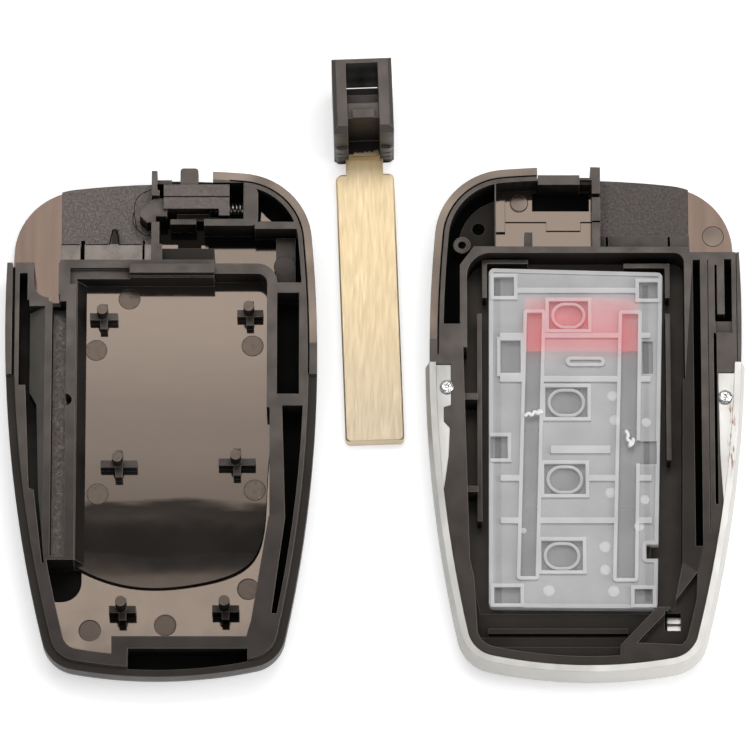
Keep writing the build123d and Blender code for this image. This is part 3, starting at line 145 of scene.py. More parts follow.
def add_floor():
    """A wide white table top under the pieces."""
    bpy.ops.mesh.primitive_plane_add(size=TABLE_SIZE, location=(0, 0, TABLE_HEIGHT))
    floor = bpy.context.object
    floor.name = "floor"
    made = bpy.data.materials.new("table_white")
    made.use_nodes = True
    tree = made.node_tree
    shader = tree.nodes["Principled BSDF"]
    shader.inputs["Base Color"].default_value = (TABLE_GREY, TABLE_GREY, TABLE_GREY, 1)
    shader.inputs["Roughness"].default_value = 0.9
    shader.inputs["Specular IOR Level"].default_value = 0.1
    glow = tree.nodes.new("ShaderNodeEmission")
    glow.inputs["Color"].default_value = (1, 1, 1, 1)
    path = tree.nodes.new("ShaderNodeLightPath")
    seen = tree.nodes.new("ShaderNodeMath")
    seen.operation = "MAXIMUM"
    tree.links.new(path.outputs["Is Camera Ray"], seen.inputs[0])
    tree.links.new(path.outputs["Is Glossy Ray"], seen.inputs[1])
    strength = tree.nodes.new("ShaderNodeMath")
    strength.operation = "MULTIPLY"
    strength.inputs[1].default_value = TABLE_GLOW
    tree.links.new(seen.outputs[0], strength.inputs[0])
    tree.links.new(strength.outputs[0], glow.inputs["Strength"])
    both = tree.nodes.new("ShaderNodeAddShader")
    tree.links.new(shader.outputs[0], both.inputs[0])
    tree.links.new(glow.outputs[0], both.inputs[1])
    tree.links.new(both.outputs[0], tree.nodes["Material Output"].inputs["Surface"])
    floor.data.materials.append(made)


# Materials


MIX_A, MIX_B, MIX_RESULT = 6, 7, 2  # colour sockets of a Mix node
NOISE_LOW, NOISE_HIGH = 0.3, 0.7  # most of a noise lies between these
EDGE_FROM, EDGE_TO = 0.82, 0.985  # agreement of a rounded normal with its face, at and beside an edge
COVER_FROM, COVER_TO = 0.35, 0.9  # ambient occlusion in a corner and in the open
COVER_REACH = 5 * MM
SMEAR = 2.5 * MM  # size of the lumps that a wandering value follows
RAYS = 4  # samples of a rounded edge and of ambient occlusion


class Surface:
    """A Principled material, with short ways to add grain, patches, rounded edges with painted highlights,
    and painted shade in corners.
    """

    def __init__(self, name, colour, **settings):
        self.material = bpy.data.materials.new(name)
        self.material.use_nodes = True
        self.tree = self.material.node_tree
        self.shader = self.tree.nodes["Principled BSDF"]
        self.shader.inputs["Base Color"].default_value = (*colour, 1)
        for socket, value in settings.items():
            self.shader.inputs[socket.replace("_", " ")].default_value = value
        self.place = self.tree.nodes.new("ShaderNodeTexCoord").outputs["Object"]

    def noise(self, size, detail=2.0, stretch=(1, 1, 1)):
        """Noise whose lumps are size metres across, longer along an axis by its stretch."""
        mapping = self.tree.nodes.new("ShaderNodeMapping")
        mapping.inputs["Scale"].default_value = [1 / (size * way) for way in stretch]
        self.tree.links.new(self.place, mapping.inputs[0])
        texture = self.tree.nodes.new("ShaderNodeTexNoise")
        texture.inputs["Scale"].default_value = 1
        texture.inputs["Detail"].default_value = detail
        self.tree.links.new(mapping.outputs[0], texture.inputs[0])
        return texture.outputs["Fac"]

    def ranged(self, value, low, high, source_low=NOISE_LOW, source_high=NOISE_HIGH):
        """A value spread from its source range to low and high."""
        node = self.tree.nodes.new("ShaderNodeMapRange")
        node.inputs["From Min"].default_value = source_low
        node.inputs["From Max"].default_value = source_high
        node.inputs["To Min"].default_value = low
        node.inputs["To Max"].default_value = high
        self.tree.links.new(value, node.inputs["Value"])
        return node.outputs["Result"]

    def roughness(self, value, low, high):
        """A roughness that follows a value."""
        self.tree.links.new(self.ranged(value, low, high), self.shader.inputs["Roughness"])

    def colours(self, value, first, second):
        """Base colour from first to second as value grows."""
        ramp = self.tree.nodes.new("ShaderNodeValToRGB")
        stops = ((NOISE_LOW, first), (NOISE_HIGH, second))
        for element, (place, colour) in zip(ramp.color_ramp.elements, stops):
            element.position = place
            element.color = (*colour, 1)
        self.tree.links.new(value, ramp.inputs[0])
        self.tree.links.new(ramp.outputs[0], self.shader.inputs["Base Color"])

    def relief(self, height, strength, depth, edge=0.0, edge_highlight=None):
        """Bump from a height, over edges rounded by a radius in metres, with a painted highlight along them
        where one is given.
        """
        bump = self.tree.nodes.new("ShaderNodeBump")
        bump.inputs["Strength"].default_value = strength
        bump.inputs["Distance"].default_value = depth
        self.tree.links.new(height, bump.inputs["Height"])
        if edge:
            rounding = self.tree.nodes.new("ShaderNodeBevel")
            rounding.samples = RAYS
            rounding.inputs["Radius"].default_value = edge
            self.tree.links.new(rounding.outputs[0], bump.inputs["Normal"])
            if edge_highlight:
                self.lit_edges(rounding.outputs[0], edge_highlight)
        self.tree.links.new(bump.outputs[0], self.shader.inputs["Normal"])

    def lit_edges(self, rounded, colour):
        """A painted highlight: another base colour where the rounded normal leaves the face's own."""
        flat = self.tree.nodes.new("ShaderNodeNewGeometry").outputs["True Normal"]
        agreement = self.tree.nodes.new("ShaderNodeVectorMath")
        agreement.operation = "DOT_PRODUCT"
        self.tree.links.new(rounded, agreement.inputs[0])
        self.tree.links.new(flat, agreement.inputs[1])
        self.blended(self.ranged(agreement.outputs["Value"], 1, 0, EDGE_FROM, EDGE_TO), colour)

    def blended(self, share, colour):
        """A base colour that goes over to another by a share."""
        mix = self.tree.nodes.new("ShaderNodeMix")
        mix.data_type = "RGBA"
        base = self.shader.inputs["Base Color"]
        mix.inputs[MIX_A].default_value = base.default_value
        mix.inputs[MIX_B].default_value = (*colour, 1)
        if base.links:
            self.tree.links.new(base.links[0].from_socket, mix.inputs[MIX_A])
        self.tree.links.new(share, mix.inputs[0])
        self.tree.links.new(mix.outputs[MIX_RESULT], base)

    def times(self, first, second):
        """The product of two values."""
        node = self.tree.nodes.new("ShaderNodeMath")
        node.operation = "MULTIPLY"
        self.tree.links.new(first, node.inputs[0])
        self.tree.links.new(second, node.inputs[1])
        return node.outputs[0]

    def reflect(self, strength):
        """Reflections as strong as a value."""
        self.tree.links.new(strength, self.shader.inputs["Specular IOR Level"])

    def sheen(self, value, low, high):
        """Reflections whose strength follows a value."""
        self.reflect(self.ranged(value, low, high))

    def corner_shade(self, low, high, stops=((-50, 1.0), (50, 1.0))):
        """Painted shade: reflections weaker where walls stand close around a place, times a value along Y.
        """
        cover = self.tree.nodes.new("ShaderNodeAmbientOcclusion")
        cover.samples = RAYS
        cover.inputs["Distance"].default_value = COVER_REACH
        seen = self.ranged(cover.outputs["AO"], low, high, COVER_FROM, COVER_TO)
        self.reflect(self.times(seen, self.along("Y", stops)))

    def along(self, axis, stops, wander=0.0):
        """A value that follows stops, pairs of a place on an axis and a value, and wanders by wander."""
        split = self.tree.nodes.new("ShaderNodeSeparateXYZ")
        self.tree.links.new(self.place, split.inputs[0])
        first, last = stops[0][0], stops[-1][0]
        off_line = self.tree.nodes.new("ShaderNodeMath")
        off_line.operation = "ADD"
        self.tree.links.new(split.outputs[axis], off_line.inputs[0])
        smear = self.ranged(self.noise(SMEAR, 3, (5, 1, 1)), -wander * MM, wander * MM)
        self.tree.links.new(smear, off_line.inputs[1])
        spread = self.ranged(off_line.outputs[0], 0, 1, first * MM, last * MM)
        ramp = self.tree.nodes.new("ShaderNodeValToRGB")
        ramp.color_ramp.interpolation = "EASE"
        elements = ramp.color_ramp.elements
        while len(elements) < len(stops):
            elements.new(0.5)
        for element, (place, value) in zip(elements, stops):
            element.position = (place - first) / (last - first)
            element.color = (value, value, value, 1)
        self.tree.links.new(spread, ramp.inputs[0])
        return ramp.outputs[0]

    def fading(self, stops, wander=0.0, axis="Y"):
        """Reflections whose strength follows stops along an axis."""
        self.reflect(self.along(axis, stops, wander))

    def thinning(self, stops):
        """Opacity that follows stops along Z."""
        self.tree.links.new(self.along("Z", stops), self.shader.inputs["Alpha"])


SMOKE = (1.0, 0.79, 0.65, 1)  # smoky brown that the polished floors give their reflections
WARM = (1.0, 0.87, 0.79, 1)  # and the weaker one of the satin plastic


def plastic(name, colour, specular, tint=WARM):
    """A black plastic whose reflections have a strength and a tint."""
    return Surface(name, colour, Specular_IOR_Level=specular, Specular_Tint=tint)


# Most of both halves, the slider and the key's head, with painted highlights on the edges, and painted
# shade: reflections weaker in corners and towards −Y
satin = plastic("moulded_satin", (0.020, 0.017, 0.0155), 0.42)
satin.roughness(satin.noise(3 * MM, 4), 0.33, 0.45)
satin.colours(satin.noise(8 * MM, 3), (0.012, 0.0105, 0.0095), (0.021, 0.018, 0.0165))
satin.relief(satin.noise(0.12 * MM, 2), 0.12, 0.02 * MM, edge=0.2 * MM, edge_highlight=(0.22, 0.20, 0.175))
satin.corner_shade(0.0, 0.66, ((-46, 0.4), (-22, 0.5), (-4, 0.9), (8, 1.0)))

# Low and shaded tops of walls, the lip in the key ring window, and the lines round marks: painted shade, a
# copy of the satin with weak reflections and painted highlights on the edges
dim = plastic("moulded_dim", (0.018, 0.0165, 0.015), 0.1)
dim.roughness(dim.noise(3 * MM, 4), 0.34, 0.44)
dim.colours(dim.noise(6 * MM, 3), (0.013, 0.012, 0.011), (0.023, 0.021, 0.019))
dim.relief(dim.noise(0.12 * MM, 2), 0.12, 0.02 * MM, edge=0.2 * MM, edge_highlight=(0.15, 0.135, 0.12))
dim.corner_shade(0.02, 0.14)

# Slope of the wall beside the blade's channel, painted light grey as a painted highlight of the light that
# it catches
slope = plastic("moulded_slope", (0.165, 0.155, 0.142), 0.3)
slope.roughness(slope.noise(3 * MM, 4), 0.36, 0.46)
slope.colours(slope.noise(4 * MM, 3), (0.145, 0.136, 0.125), (0.185, 0.173, 0.158))
slope.relief(slope.noise(0.12 * MM, 2), 0.12, 0.02 * MM)

# Narrow floors beside that slope, in painted shade: near black, and lighter towards −Y
gutter = plastic("moulded_gutter", (0.006, 0.0055, 0.005), 0.1)
gutter.roughness(gutter.noise(2 * MM, 3), 0.45, 0.6)
gutter.relief(gutter.noise(0.2 * MM, 2), 0.2, 0.03 * MM)
gutter.blended(gutter.along("Y", ((-14.0, 1.0), (-4.0, 0.0)), 1.0), (0.040, 0.037, 0.032))

# Painted shade of deep hollows, the shadow lines behind the ledge and the dark plate by the latch, and the
# dark threads of flash
shadowed = plastic("moulded_hollow", (0.005, 0.0048, 0.0045), 0.03)
shadowed.roughness(shadowed.noise(2 * MM, 3), 0.5, 0.65)
shadowed.relief(shadowed.noise(0.2 * MM, 2), 0.2, 0.03 * MM)
shadowed.corner_shade(0.0, 0.07)

# Smoky polished floors
polished = plastic("moulded_polished", (0.014, 0.011, 0.0095), 0.9, SMOKE)
polished.roughness(polished.noise(5 * MM, 3), 0.05, 0.11)
polished.relief(polished.noise(6 * MM, 2), 0.05, 0.2 * MM, edge=0.08 * MM)

# Corners that are open for the key ring
corner = plastic("moulded_corner", (0.014, 0.010, 0.008), 0.76, (1.0, 0.72, 0.58, 1))
corner.roughness(corner.noise(5 * MM, 3), 0.07, 0.14)
corner.sheen(corner.noise(1.4 * MM, 1, (1, 14, 1)), 0.68, 0.84)
corner.relief(corner.noise(6 * MM, 2), 0.05, 0.2 * MM)

# Polished edge round the crowns, with painted highlights on its edges
strip = plastic("moulded_strip", (0.014, 0.011, 0.0095), 0.6, SMOKE)
strip.roughness(strip.noise(5 * MM, 3), 0.1, 0.2)
strip.sheen(strip.noise(7 * MM, 1), 0.55, 1.0)
strip.relief(strip.noise(6 * MM, 2), 0.05, 0.2 * MM, edge=0.12 * MM, edge_highlight=(0.15, 0.13, 0.115))

# Raised floor of the back half's well: its reflections fade by place along Y, a painted dark band where it
# bends down
plateau = plastic("moulded_plateau", (0.017, 0.0155, 0.0145), 0.8, SMOKE)
plateau.roughness(plateau.noise(5 * MM, 3), 0.05, 0.1)
plateau.relief(plateau.noise(7 * MM, 2), 0.05, 0.2 * MM, edge=0.08 * MM)
plateau.fading((
    (-33.0, 1.0), (-28.4, 0.95), (-26.0, 0.35), (-20.1, 0.06), (-19.0, 0.44), (-10.0, 0.58), (12.0, 0.95),
), 0.8)

# Floor by the latch: polished before its walls, and in painted shade behind them, where its reflections and
# colour go black
ledge = plastic("moulded_patch", (0.014, 0.011, 0.0095), 0.8, SMOKE)
ledge.roughness(ledge.noise(5 * MM, 3), 0.06, 0.12)
ledge.relief(ledge.noise(6 * MM, 2), 0.05, 0.2 * MM)
ledge.fading(((10.0, 0.8), (20.6, 0.8), (20.9, 0.02), (40.0, 0.02)))
ledge.blended(ledge.along("Y", ((20.6, 0.0), (20.9, 1.0))), (0.003, 0.003, 0.003))

# Grained floors of the key head's pocket, and the slider's top
grained = plastic("moulded_grained", (0.030, 0.026, 0.026), 1.0)
grained.roughness(grained.noise(0.4 * MM, 3), 0.36, 0.54)
grained.colours(grained.noise(0.5 * MM, 3), (0.024, 0.021, 0.021), (0.046, 0.040, 0.039))
grained.relief(grained.noise(0.22 * MM, 3), 0.7, 0.05 * MM, edge=0.1 * MM)
grained.fading(((-8.0, 1.0), (8.0, 0.62)), axis="X")

# Outsides of both halves
outside = plastic("moulded_outside", (0.011, 0.010, 0.0095), 0.22)
outside.roughness(outside.noise(4 * MM, 3), 0.26, 0.36)
outside.relief(outside.noise(0.15 * MM, 2), 0.08, 0.02 * MM)

# Ejector pins' marks, and the tops of the locating pins
marked = plastic("ejector_mark", (0.018, 0.015, 0.013), 0.5, SMOKE)
marked.roughness(marked.noise(0.5 * MM, 3), 0.16, 0.28)
marked.relief(marked.noise(0.3 * MM, 3), 0.25, 0.03 * MM)

# Floor of the pad's well
well = plastic("moulded_well", (0.040, 0.036, 0.033), 0.1)
well.roughness(well.noise(3 * MM, 4), 0.36, 0.46)
well.colours(well.noise(5 * MM, 3), (0.032, 0.029, 0.026), (0.046, 0.042, 0.038))
well.relief(well.noise(0.15 * MM, 2), 0.12, 0.02 * MM)

# Ledge behind the key head's pocket: a glossier copy of the satin, with painted highlights on its edges
glossy_ledge = plastic("moulded_glossy_ledge", (0.022, 0.019, 0.017), 0.85)
glossy_ledge.roughness(glossy_ledge.noise(2 * MM, 3), 0.2, 0.32)
glossy_ledge.relief(
    glossy_ledge.noise(0.3 * MM, 3), 0.1, 0.03 * MM, edge=0.15 * MM, edge_highlight=(0.15, 0.13, 0.115)
)

button_black = plastic("button_black", (0.02, 0.019, 0.018), 0.5)
button_black.roughness(button_black.noise(2 * MM, 3), 0.4, 0.5)
button_black.relief(button_black.noise(0.15 * MM, 2), 0.15, 0.02 * MM)

button_red = Surface("button_red", (0.86, 0.03, 0.035))
button_red.roughness(button_red.noise(2 * MM, 3), 0.4, 0.5)
button_red.relief(button_red.noise(0.15 * MM, 2), 0.15, 0.02 * MM)

# Milky pad: a painted pink round the red button, which stands for the button's red light in the milky
# silicone, painted highlights on its edges, and clearer where it lies low
silicone = Surface("silicone_milky", (0.8, 0.8, 0.8), IOR=1.41)
silicone.roughness(silicone.noise(3 * MM, 3), 0.36, 0.5)
silicone.colours(silicone.noise(5 * MM, 4), (0.74, 0.74, 0.755), (0.86, 0.86, 0.87))
silicone.relief(silicone.noise(0.4 * MM, 2), 0.08, 0.03 * MM, edge=0.14 * MM, edge_highlight=(0.98, 0.98, 0.98))
silicone.blended(silicone.times(
    silicone.along("X", ((21.0, 0.0), (24.0, 0.8), (37.5, 0.8), (40.5, 0.0)), 0.6),
    silicone.along("Y", ((1.0, 0.0), (5.2, 0.9), (10.0, 0.7), (12.8, 0.0)), 1.0),
), (0.86, 0.46, 0.49))
silicone.thinning(((3.4, 0.22), (4.3, 0.3), (4.5, 0.46), (5.0, 0.62)))

# Its domes, and the scraps on it
whitened = Surface("silicone_thick", (0.86, 0.86, 0.87), IOR=1.41, Alpha=0.42)
whitened.roughness(whitened.noise(1 * MM, 3), 0.3, 0.45)
whitened.relief(whitened.noise(0.3 * MM, 2), 0.2, 0.05 * MM)

scrap = Surface("silicone_scrap", (0.92, 0.92, 0.92), IOR=1.41, Alpha=0.9)
scrap.roughness(scrap.noise(0.3 * MM, 3), 0.4, 0.6)
scrap.relief(scrap.noise(0.25 * MM, 3), 0.6, 0.15 * MM)

# Trim: a painted highlight that makes it brighter towards the right, with a faint brown stain on its right
# flange
silver = Surface("trim_silver", (0.52, 0.51, 0.49), Metallic=1.0)
silver.roughness(silver.noise(2.5 * MM, 3, (1, 3, 1)), 0.40, 0.50)
silver.colours(silver.noise(14 * MM, 2), (0.36, 0.35, 0.335), (0.42, 0.41, 0.39))
silver.blended(silver.along("X", ((10.0, 0.0), (24.0, 0.2), (52.0, 0.5))), (0.80, 0.78, 0.745))
silver.relief(silver.noise(0.1 * MM, 2), 0.08, 0.02 * MM, edge=0.08 * MM)
silver.blended(silver.times(
    silver.ranged(silver.noise(0.35 * MM, 4, (1, 5, 1)), 0, 0.9, 0.5, 0.62),
    silver.times(
        silver.along("X", ((52.3, 0.0), (52.8, 1.0), (53.4, 1.0), (53.6, 0.0)), 0.2),
        silver.along("Y", ((-17.0, 0.0), (-14.0, 1.0), (-6.0, 1.0), (-4.0, 0.0)), 1.0),
    ),
), (0.22, 0.09, 0.05))

# Blade, darker and greyer towards its tip, with painted highlights on its edges, and the flash at the head's
# mouth
gold = Surface("blade_gold", (0.80, 0.64, 0.40), Metallic=1.0)
gold.roughness(gold.noise(0.15 * MM, 3, (1, 20, 1)), 0.46, 0.56)
gold.colours(gold.noise(0.3 * MM, 3, (1, 14, 1)), (0.72, 0.57, 0.355), (0.77, 0.62, 0.395))
gold.blended(gold.along("Y", ((-9.5, 0.95), (20.0, 0.0))), (0.60, 0.50, 0.365))
gold.relief(gold.noise(0.6 * MM, 4), 0.12, 0.08 * MM, edge=0.15 * MM, edge_highlight=(1.0, 0.93, 0.78))

# Caps of the stakes, and the spring
chrome = Surface("stake_chrome", (0.88, 0.88, 0.87), Metallic=1.0)
chrome.roughness(chrome.noise(0.5 * MM, 2), 0.08, 0.25)
chrome.relief(chrome.noise(0.5 * MM, 3), 0.8, 0.3 * MM)

steel = Surface("spring_steel", (0.62, 0.60, 0.57), Metallic=1.0)
steel.roughness(steel.noise(0.4 * MM, 2), 0.2, 0.32)


# Which faces of a moulding are polished, grained, painted lighter or in painted shade


def dress(node, base, zones=(), middle=(0, 0, 0)):
    """Gives a node its base material, and each zone's to the faces that its test accepts.

    A later zone wins over an earlier one.
    """
    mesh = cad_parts[node].data
    mesh.materials.clear()
    mesh.materials.append(base.material)
    for surface, _ in zones:
        if mesh.materials.find(surface.material.name) < 0:
            mesh.materials.append(surface.material)
    for face in mesh.polygons:
        for surface, accepts in zones:
            if accepts((face.center - Vector(middle)) / MM, face.normal):
                face.material_index = mesh.materials.find(surface.material.name)


UPWARD = 0.7  # least upward part of a level face's normal


def level(low, high, left=-30, right=30, near=-45, far=45):
    """A test for upward faces between two heights and inside a box about a half's own middle."""
    return lambda point, normal: (
        normal.z > UPWARD and low < point.z < high and left < point.x < right and near < point.y < far
    )


# Outline of a half, as arcs about its own middle
HALF_WIDTH = 23.3
WIDEST = 13.0  # plan height of the widest place
SIDE_RADIUS = 207.0
CROWN = 39.5
CROWN_RADIUS = 130.0
FOOT = 39.4  # from the middle down to the foot
FOOT_RADIUS = 70.0
BORDER = 4.6  # width and height of the outside's curved border


def edge_depth(point):
    """How far a point lies inside the outline of a half."""
    side = SIDE_RADIUS - hypot(abs(point.x) + SIDE_RADIUS - HALF_WIDTH, point.y - WIDEST)
    crown = CROWN_RADIUS - hypot(point.x, point.y - (CROWN - CROWN_RADIUS))
    foot = FOOT_RADIUS - hypot(point.x, point.y - (FOOT_RADIUS - FOOT))
    return min(side, crown, foot)


def is_outside(point, normal):
    """Whether a face belongs to the outside of a half."""
    upright = abs(normal.z) < 0.02 and hypot(normal.x, normal.y) > 0.05
    return normal.z < -0.01 or (upright and edge_depth(point) < BORDER and point.z < BORDER)


def is_slope(point, normal):
    """Whether a face belongs to the slope between the blade's channel and the back half's left side."""
    return normal.z > 0.2 and 3 < point.z < 7 and -20.2 < point.x < -17.3 and -19 < point.y < 18.4


BACK_ZONES = (
    (outside, is_outside),
    (gutter, level(1.95, 2.05, -22, -17, -24, 24)),
    (slope, is_slope),
    (shadowed, level(1.0, 1.3)),
    (marked, level(1.3, 1.45)),
    (polished, level(1.45, 1.6)),
    (shadowed, level(1.7, 1.9)),
    (ledge, level(1.95, 2.05, -1, 21, 21, 38)),
    (shadowed, level(1.95, 2.05, 13.7, 19.7, 31.3, 36.8)),
    (corner, level(2.08, 2.12)),
    (grained, level(2.3, 2.65, -16.6, -0.5)),
    (plateau, level(2.14, 2.95, -13, 16.2, -24.7, 23.3)),
    (grained, level(2.55, 2.65, -16.6, -13.3, -21, 19)),
    (shadowed, level(2.9, 3.1, -5, 13, -39, -35)),
    (dim, level(2.9, 3.1, -2, 8, 36, 40)),
    (dim, level(4.9, 5.1, -0.3, 23, 7, 28.4)),
    (dim, level(4.9, 5.1, -23, -22)),
    (glossy_ledge, level(4.9, 5.1, -16, -1.6, 25, 28.7)),
    (dim, level(4.9, 5.1, -16, -1.6, 28.7, 31.2)),
    (dim, level(6.5, 6.7)),
    (strip, level(7.13, 7.17)),
    (marked, level(7.55, 7.65)),
)
FRONT_ZONES = (
    (outside, is_outside),
    (shadowed, level(1.0, 1.3)),
    (well, level(1.4, 1.6)),
    (shadowed, level(1.7, 1.95)),
    (corner, level(2.05, 2.15)),
    (polished, level(2.3, 2.75, -13.2, 1.4, 26.8, 37.5)),
    (grained, level(2.3, 2.5, 2.4, 16)),
    (shadowed, level(2.5, 2.65, 16, 23)),
    (marked, level(2.8, 2.9)),
    (polished, level(2.95, 3.05, -13.2, -11.6)),
    (dim, level(2.95, 3.05, -7, 1.2, 37.5, 39.4)),
    (dim, level(3.3, 5.3, -17, 11, -37.1, -24.9)),
    (dim, level(3.5, 3.7)),
    (dim, level(5.7, 5.9)),
    (dim, level(7.1, 7.25, 14.6, 17.4, -24, 14)),
    (strip, level(7.13, 7.17)),
)


def dress_nodes():
    """Gives every node of the part its materials."""
    dress("back_cover", satin, BACK_ZONES, BACK)
    dress("front_cover", satin, FRONT_ZONES, FRONT)
    dress("latch_slider", satin, ((grained, level(6.8, 7.0)),), BACK)
    dress("key_head", satin)
    dress("key_blade", gold)
    dress("silver_trim", silver)
    dress("keypad_pad", silicone)
    dress("button_panic", button_red)
    for name in ("button_trunk", "button_unlock", "button_lock"):
        dress(name, button_black)
    dress("latch_spring", steel)


# Details that Blender adds


ABOVE = 0.05  # higher than every node


def on_surface(node, point):
    """The place on a node's surface that lies straight below or above a point."""
    start = Vector((point.x, point.y, ABOVE))
    hit, place, _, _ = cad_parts[node].ray_cast(start, Vector((0, 0, -1)))
    return Vector((point.x, point.y, place.z if hit else point.z))


def add_piece(name, shape, surface):
    """An object from a bmesh, which rides on the shell."""
    mesh = bpy.data.meshes.new(name)
    shape.to_mesh(mesh)
    shape.free()
    piece = bpy.data.objects.new(name, mesh)
    bpy.context.scene.collection.objects.link(piece)
    mesh.materials.append(surface.material)
    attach(piece, "shell")


def turned(profile, middle, segments=40):
    """A bmesh of a profile of radii and heights, turned about an upright line through a point."""
    shape = bmesh.new()
    rings = []
    for radius, height in profile:
        ring = []
        for step in range(segments):
            angle = 2 * pi * step / segments
            spoke = Vector((radius * cos(angle), radius * sin(angle), height))
            ring.append(shape.verts.new(middle + spoke * MM))
        rings.append(ring)
    for lower, upper in zip(rings, rings[1:]):
        for step in range(segments):
            after = (step + 1) % segments
            shape.faces.new((lower[step], lower[after], upper[after], upper[step]))
    shape.faces.new(rings[-1])
    shape.faces.new(list(reversed(rings[0])))
    return shape


# Profiles of a mark's disc and of the line round it: distance outside the mark's radius, and height
DISC = ((0.0, -0.02), (0.0, 0.02), (-0.05, 0.03))
RING = ((0.06, -0.02), (0.03, 0.035), (-0.02, 0.035), (-0.05, -0.02))


def add_mark(name, node, point, radius, surface=marked):
    """An ejector pin's mark: a disc with a thin dark line round it, which is a ring without caps."""
    middle = on_surface(node, point)
    add_piece(name, turned([(radius + out, height) for out, height in DISC], middle), surface)
    line = turned([(radius + out, height) for out, height in RING], middle)
    caps = [face for face in line.faces if len(face.verts) > 4]
    bmesh.ops.delete(line, geom=caps, context="FACES_ONLY")
    add_piece(name + "_line", line, dim)


MARK_RADIUS = 1.6
STEP_MARK = (18.2, 25.4)
BACK_MARKS = (
    (-5.1, 20.6), (-10.0, 12.5), (13.4, 13.2), (-9.6, -10.0), (13.8, -9.4),
    (-10.55, -30.85), (0.55, -30.0), (12.95, -24.4),
)
FRONT_MARKS = ((-9.55, 35.25, 1.3), (19.6, 30.2, 1.6))


def add_marks():
    """The ejector pins' marks of both halves."""
    for count, (u, v) in enumerate(BACK_MARKS):
        add_mark(f"back_mark_{count}", "back_cover", on_back(u, v), MARK_RADIUS)
    add_mark("step_mark", "back_cover", on_back(*STEP_MARK), MARK_RADIUS, satin)
    for count, (u, v, radius) in enumerate(FRONT_MARKS):
        add_mark(f"front_mark_{count}", "front_cover", on_front(u, v), radius, strip)


DOMES = (
    (-5.5, -26.1, 0.85), (2.9, -19.3, 0.85), (2.9, -22.9, 0.8), (4.1, -26.2, 0.85),
    (3.8, -10.9, 0.8), (4.5, 0.4, 0.8), (4.2, 4.2, 0.75), (9.2, 0.1, 0.7),
    (8.9, -12.0, 0.7), (8.0, -16.1, 0.75), (-9.2, -16.6, 0.45),
)
DOME_HEIGHT = 0.1
DOME_STEPS = 5
SUNK = -0.02  # the domes start this far inside the pad
FEW = 24  # segments of a small round thing


def add_domes():
    """Low round gates and bumps of the silicone pad."""
    for count, (u, v, radius) in enumerate(DOMES):
        profile = [(radius, SUNK)]
        for step in range(DOME_STEPS):
            angle = step * pi / (2 * DOME_STEPS)
            profile.append((radius * cos(angle), DOME_HEIGHT * sin(angle)))
        middle = on_surface("keypad_pad", on_front(u, v))
        add_piece(f"pad_dome_{count}", turned(profile, middle, FEW), whitened)


# Chromed caps that hold the trim's flanges
STAKES = ((-20.55, 4.8), (20.9, 3.2))
CAP = ((1.05, -0.25), (1.05, 0.0), (0.95, 0.16), (0.7, 0.3), (0.35, 0.34), (0.12, 0.24))


def add_caps():
    """A cap on each of the trim's stakes."""
    for count, (u, v) in enumerate(STAKES):
        middle = on_surface("front_cover", on_front(u, v))
        add_piece(f"stake_cap_{count}", turned(CAP, middle, FEW), chrome)


def add_line(name, points, radius, surface):
    """A thin round thread along points in metres, which rides on the shell."""
    data = bpy.data.curves.new(name, "CURVE")
    data.dimensions = "3D"
    data.bevel_depth = radius * MM
    data.bevel_resolution = 2
    spline = data.splines.new("NURBS")
    spline.points.add(len(points) - 1)
    for place, point in zip(spline.points, points):
        place.co = (*point, 1)
    spline.order_u = 3
    spline.use_endpoint_u = True
    data.materials.append(surface.material)
    thread = bpy.data.objects.new(name, data)
    bpy.context.scene.collection.objects.link(thread)
    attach(thread, "shell")
    return thread


def add_slab(name, corners, low, high, surface):
    """A plate between two heights, over an outline of corners in metres."""
    shape = bmesh.new()
    foot = [shape.verts.new((x, y, low * MM)) for x, y, _ in corners]
    top = [shape.verts.new((x, y, high * MM)) for x, y, _ in corners]
    shape.faces.new(list(reversed(foot)))
    shape.faces.new(top)
    for step, corner in enumerate(foot):
        after = (step + 1) % len(foot)
        shape.faces.new((corner, foot[after], top[after], top[step]))
    bmesh.ops.recalc_face_normals(shape, faces=shape.faces)
    add_piece(name, shape, surface)


# Bits of polished floor that show between the latch's walls, as outlines on the back half
SLIVER_LOW, SLIVER_HIGH = 1.98, 2.05
GLINTS = (
    ((-0.4, 28.8), (2.1, 28.8), (2.1, 29.5), (-0.4, 29.5)),
    ((5.6, 28.8), (6.7, 28.8), (6.7, 29.4), (5.6, 29.4)),
    ((14.5, 33.2), (16.2, 33.2), (15.3, 34.0), (14.6, 34.9)),
)

# Painted shade: a dark plate on the floor between the grey step and the crown's wall, between the same
# heights
SHADE = ((19.78, 21.9), (21.1, 21.9), (20.6, 30.5), (19.78, 30.5))

# Ragged gold at the mouth of the key's head, from left to right: place across, and depth into the head
BURR = (
    (-2.35, 0.15), (-2.1, 0.45), (-1.8, 0.3), (-1.3, 0.75), (-1.0, 0.55), (-0.6, 0.7), (-0.3, 0.5),
    (0.1, 0.8), (0.5, 0.65), (0.8, 0.85), (1.2, 0.6), (1.6, 0.95), (2.1, 1.0), (2.35, 0.2),
)
BURR_HALF = 2.35  # half of its width
BURR_SKIN = 0.06  # how far it stands before and above the head
BURR_ROOT = 0.02  # and how far it goes into it
MOUTH = 2.4  # from the blade's shoulders to the head
MOUTH_TOP = 3.2
BLADE_TOP = 2.0

# Dark lip inside the key ring window, as corners on the key
LIP = ((-2.42, 9.15), (2.42, 9.15), (2.42, 11.12), (-2.42, 11.12))
LIP_LOW, LIP_HIGH = 8.4, 9.2


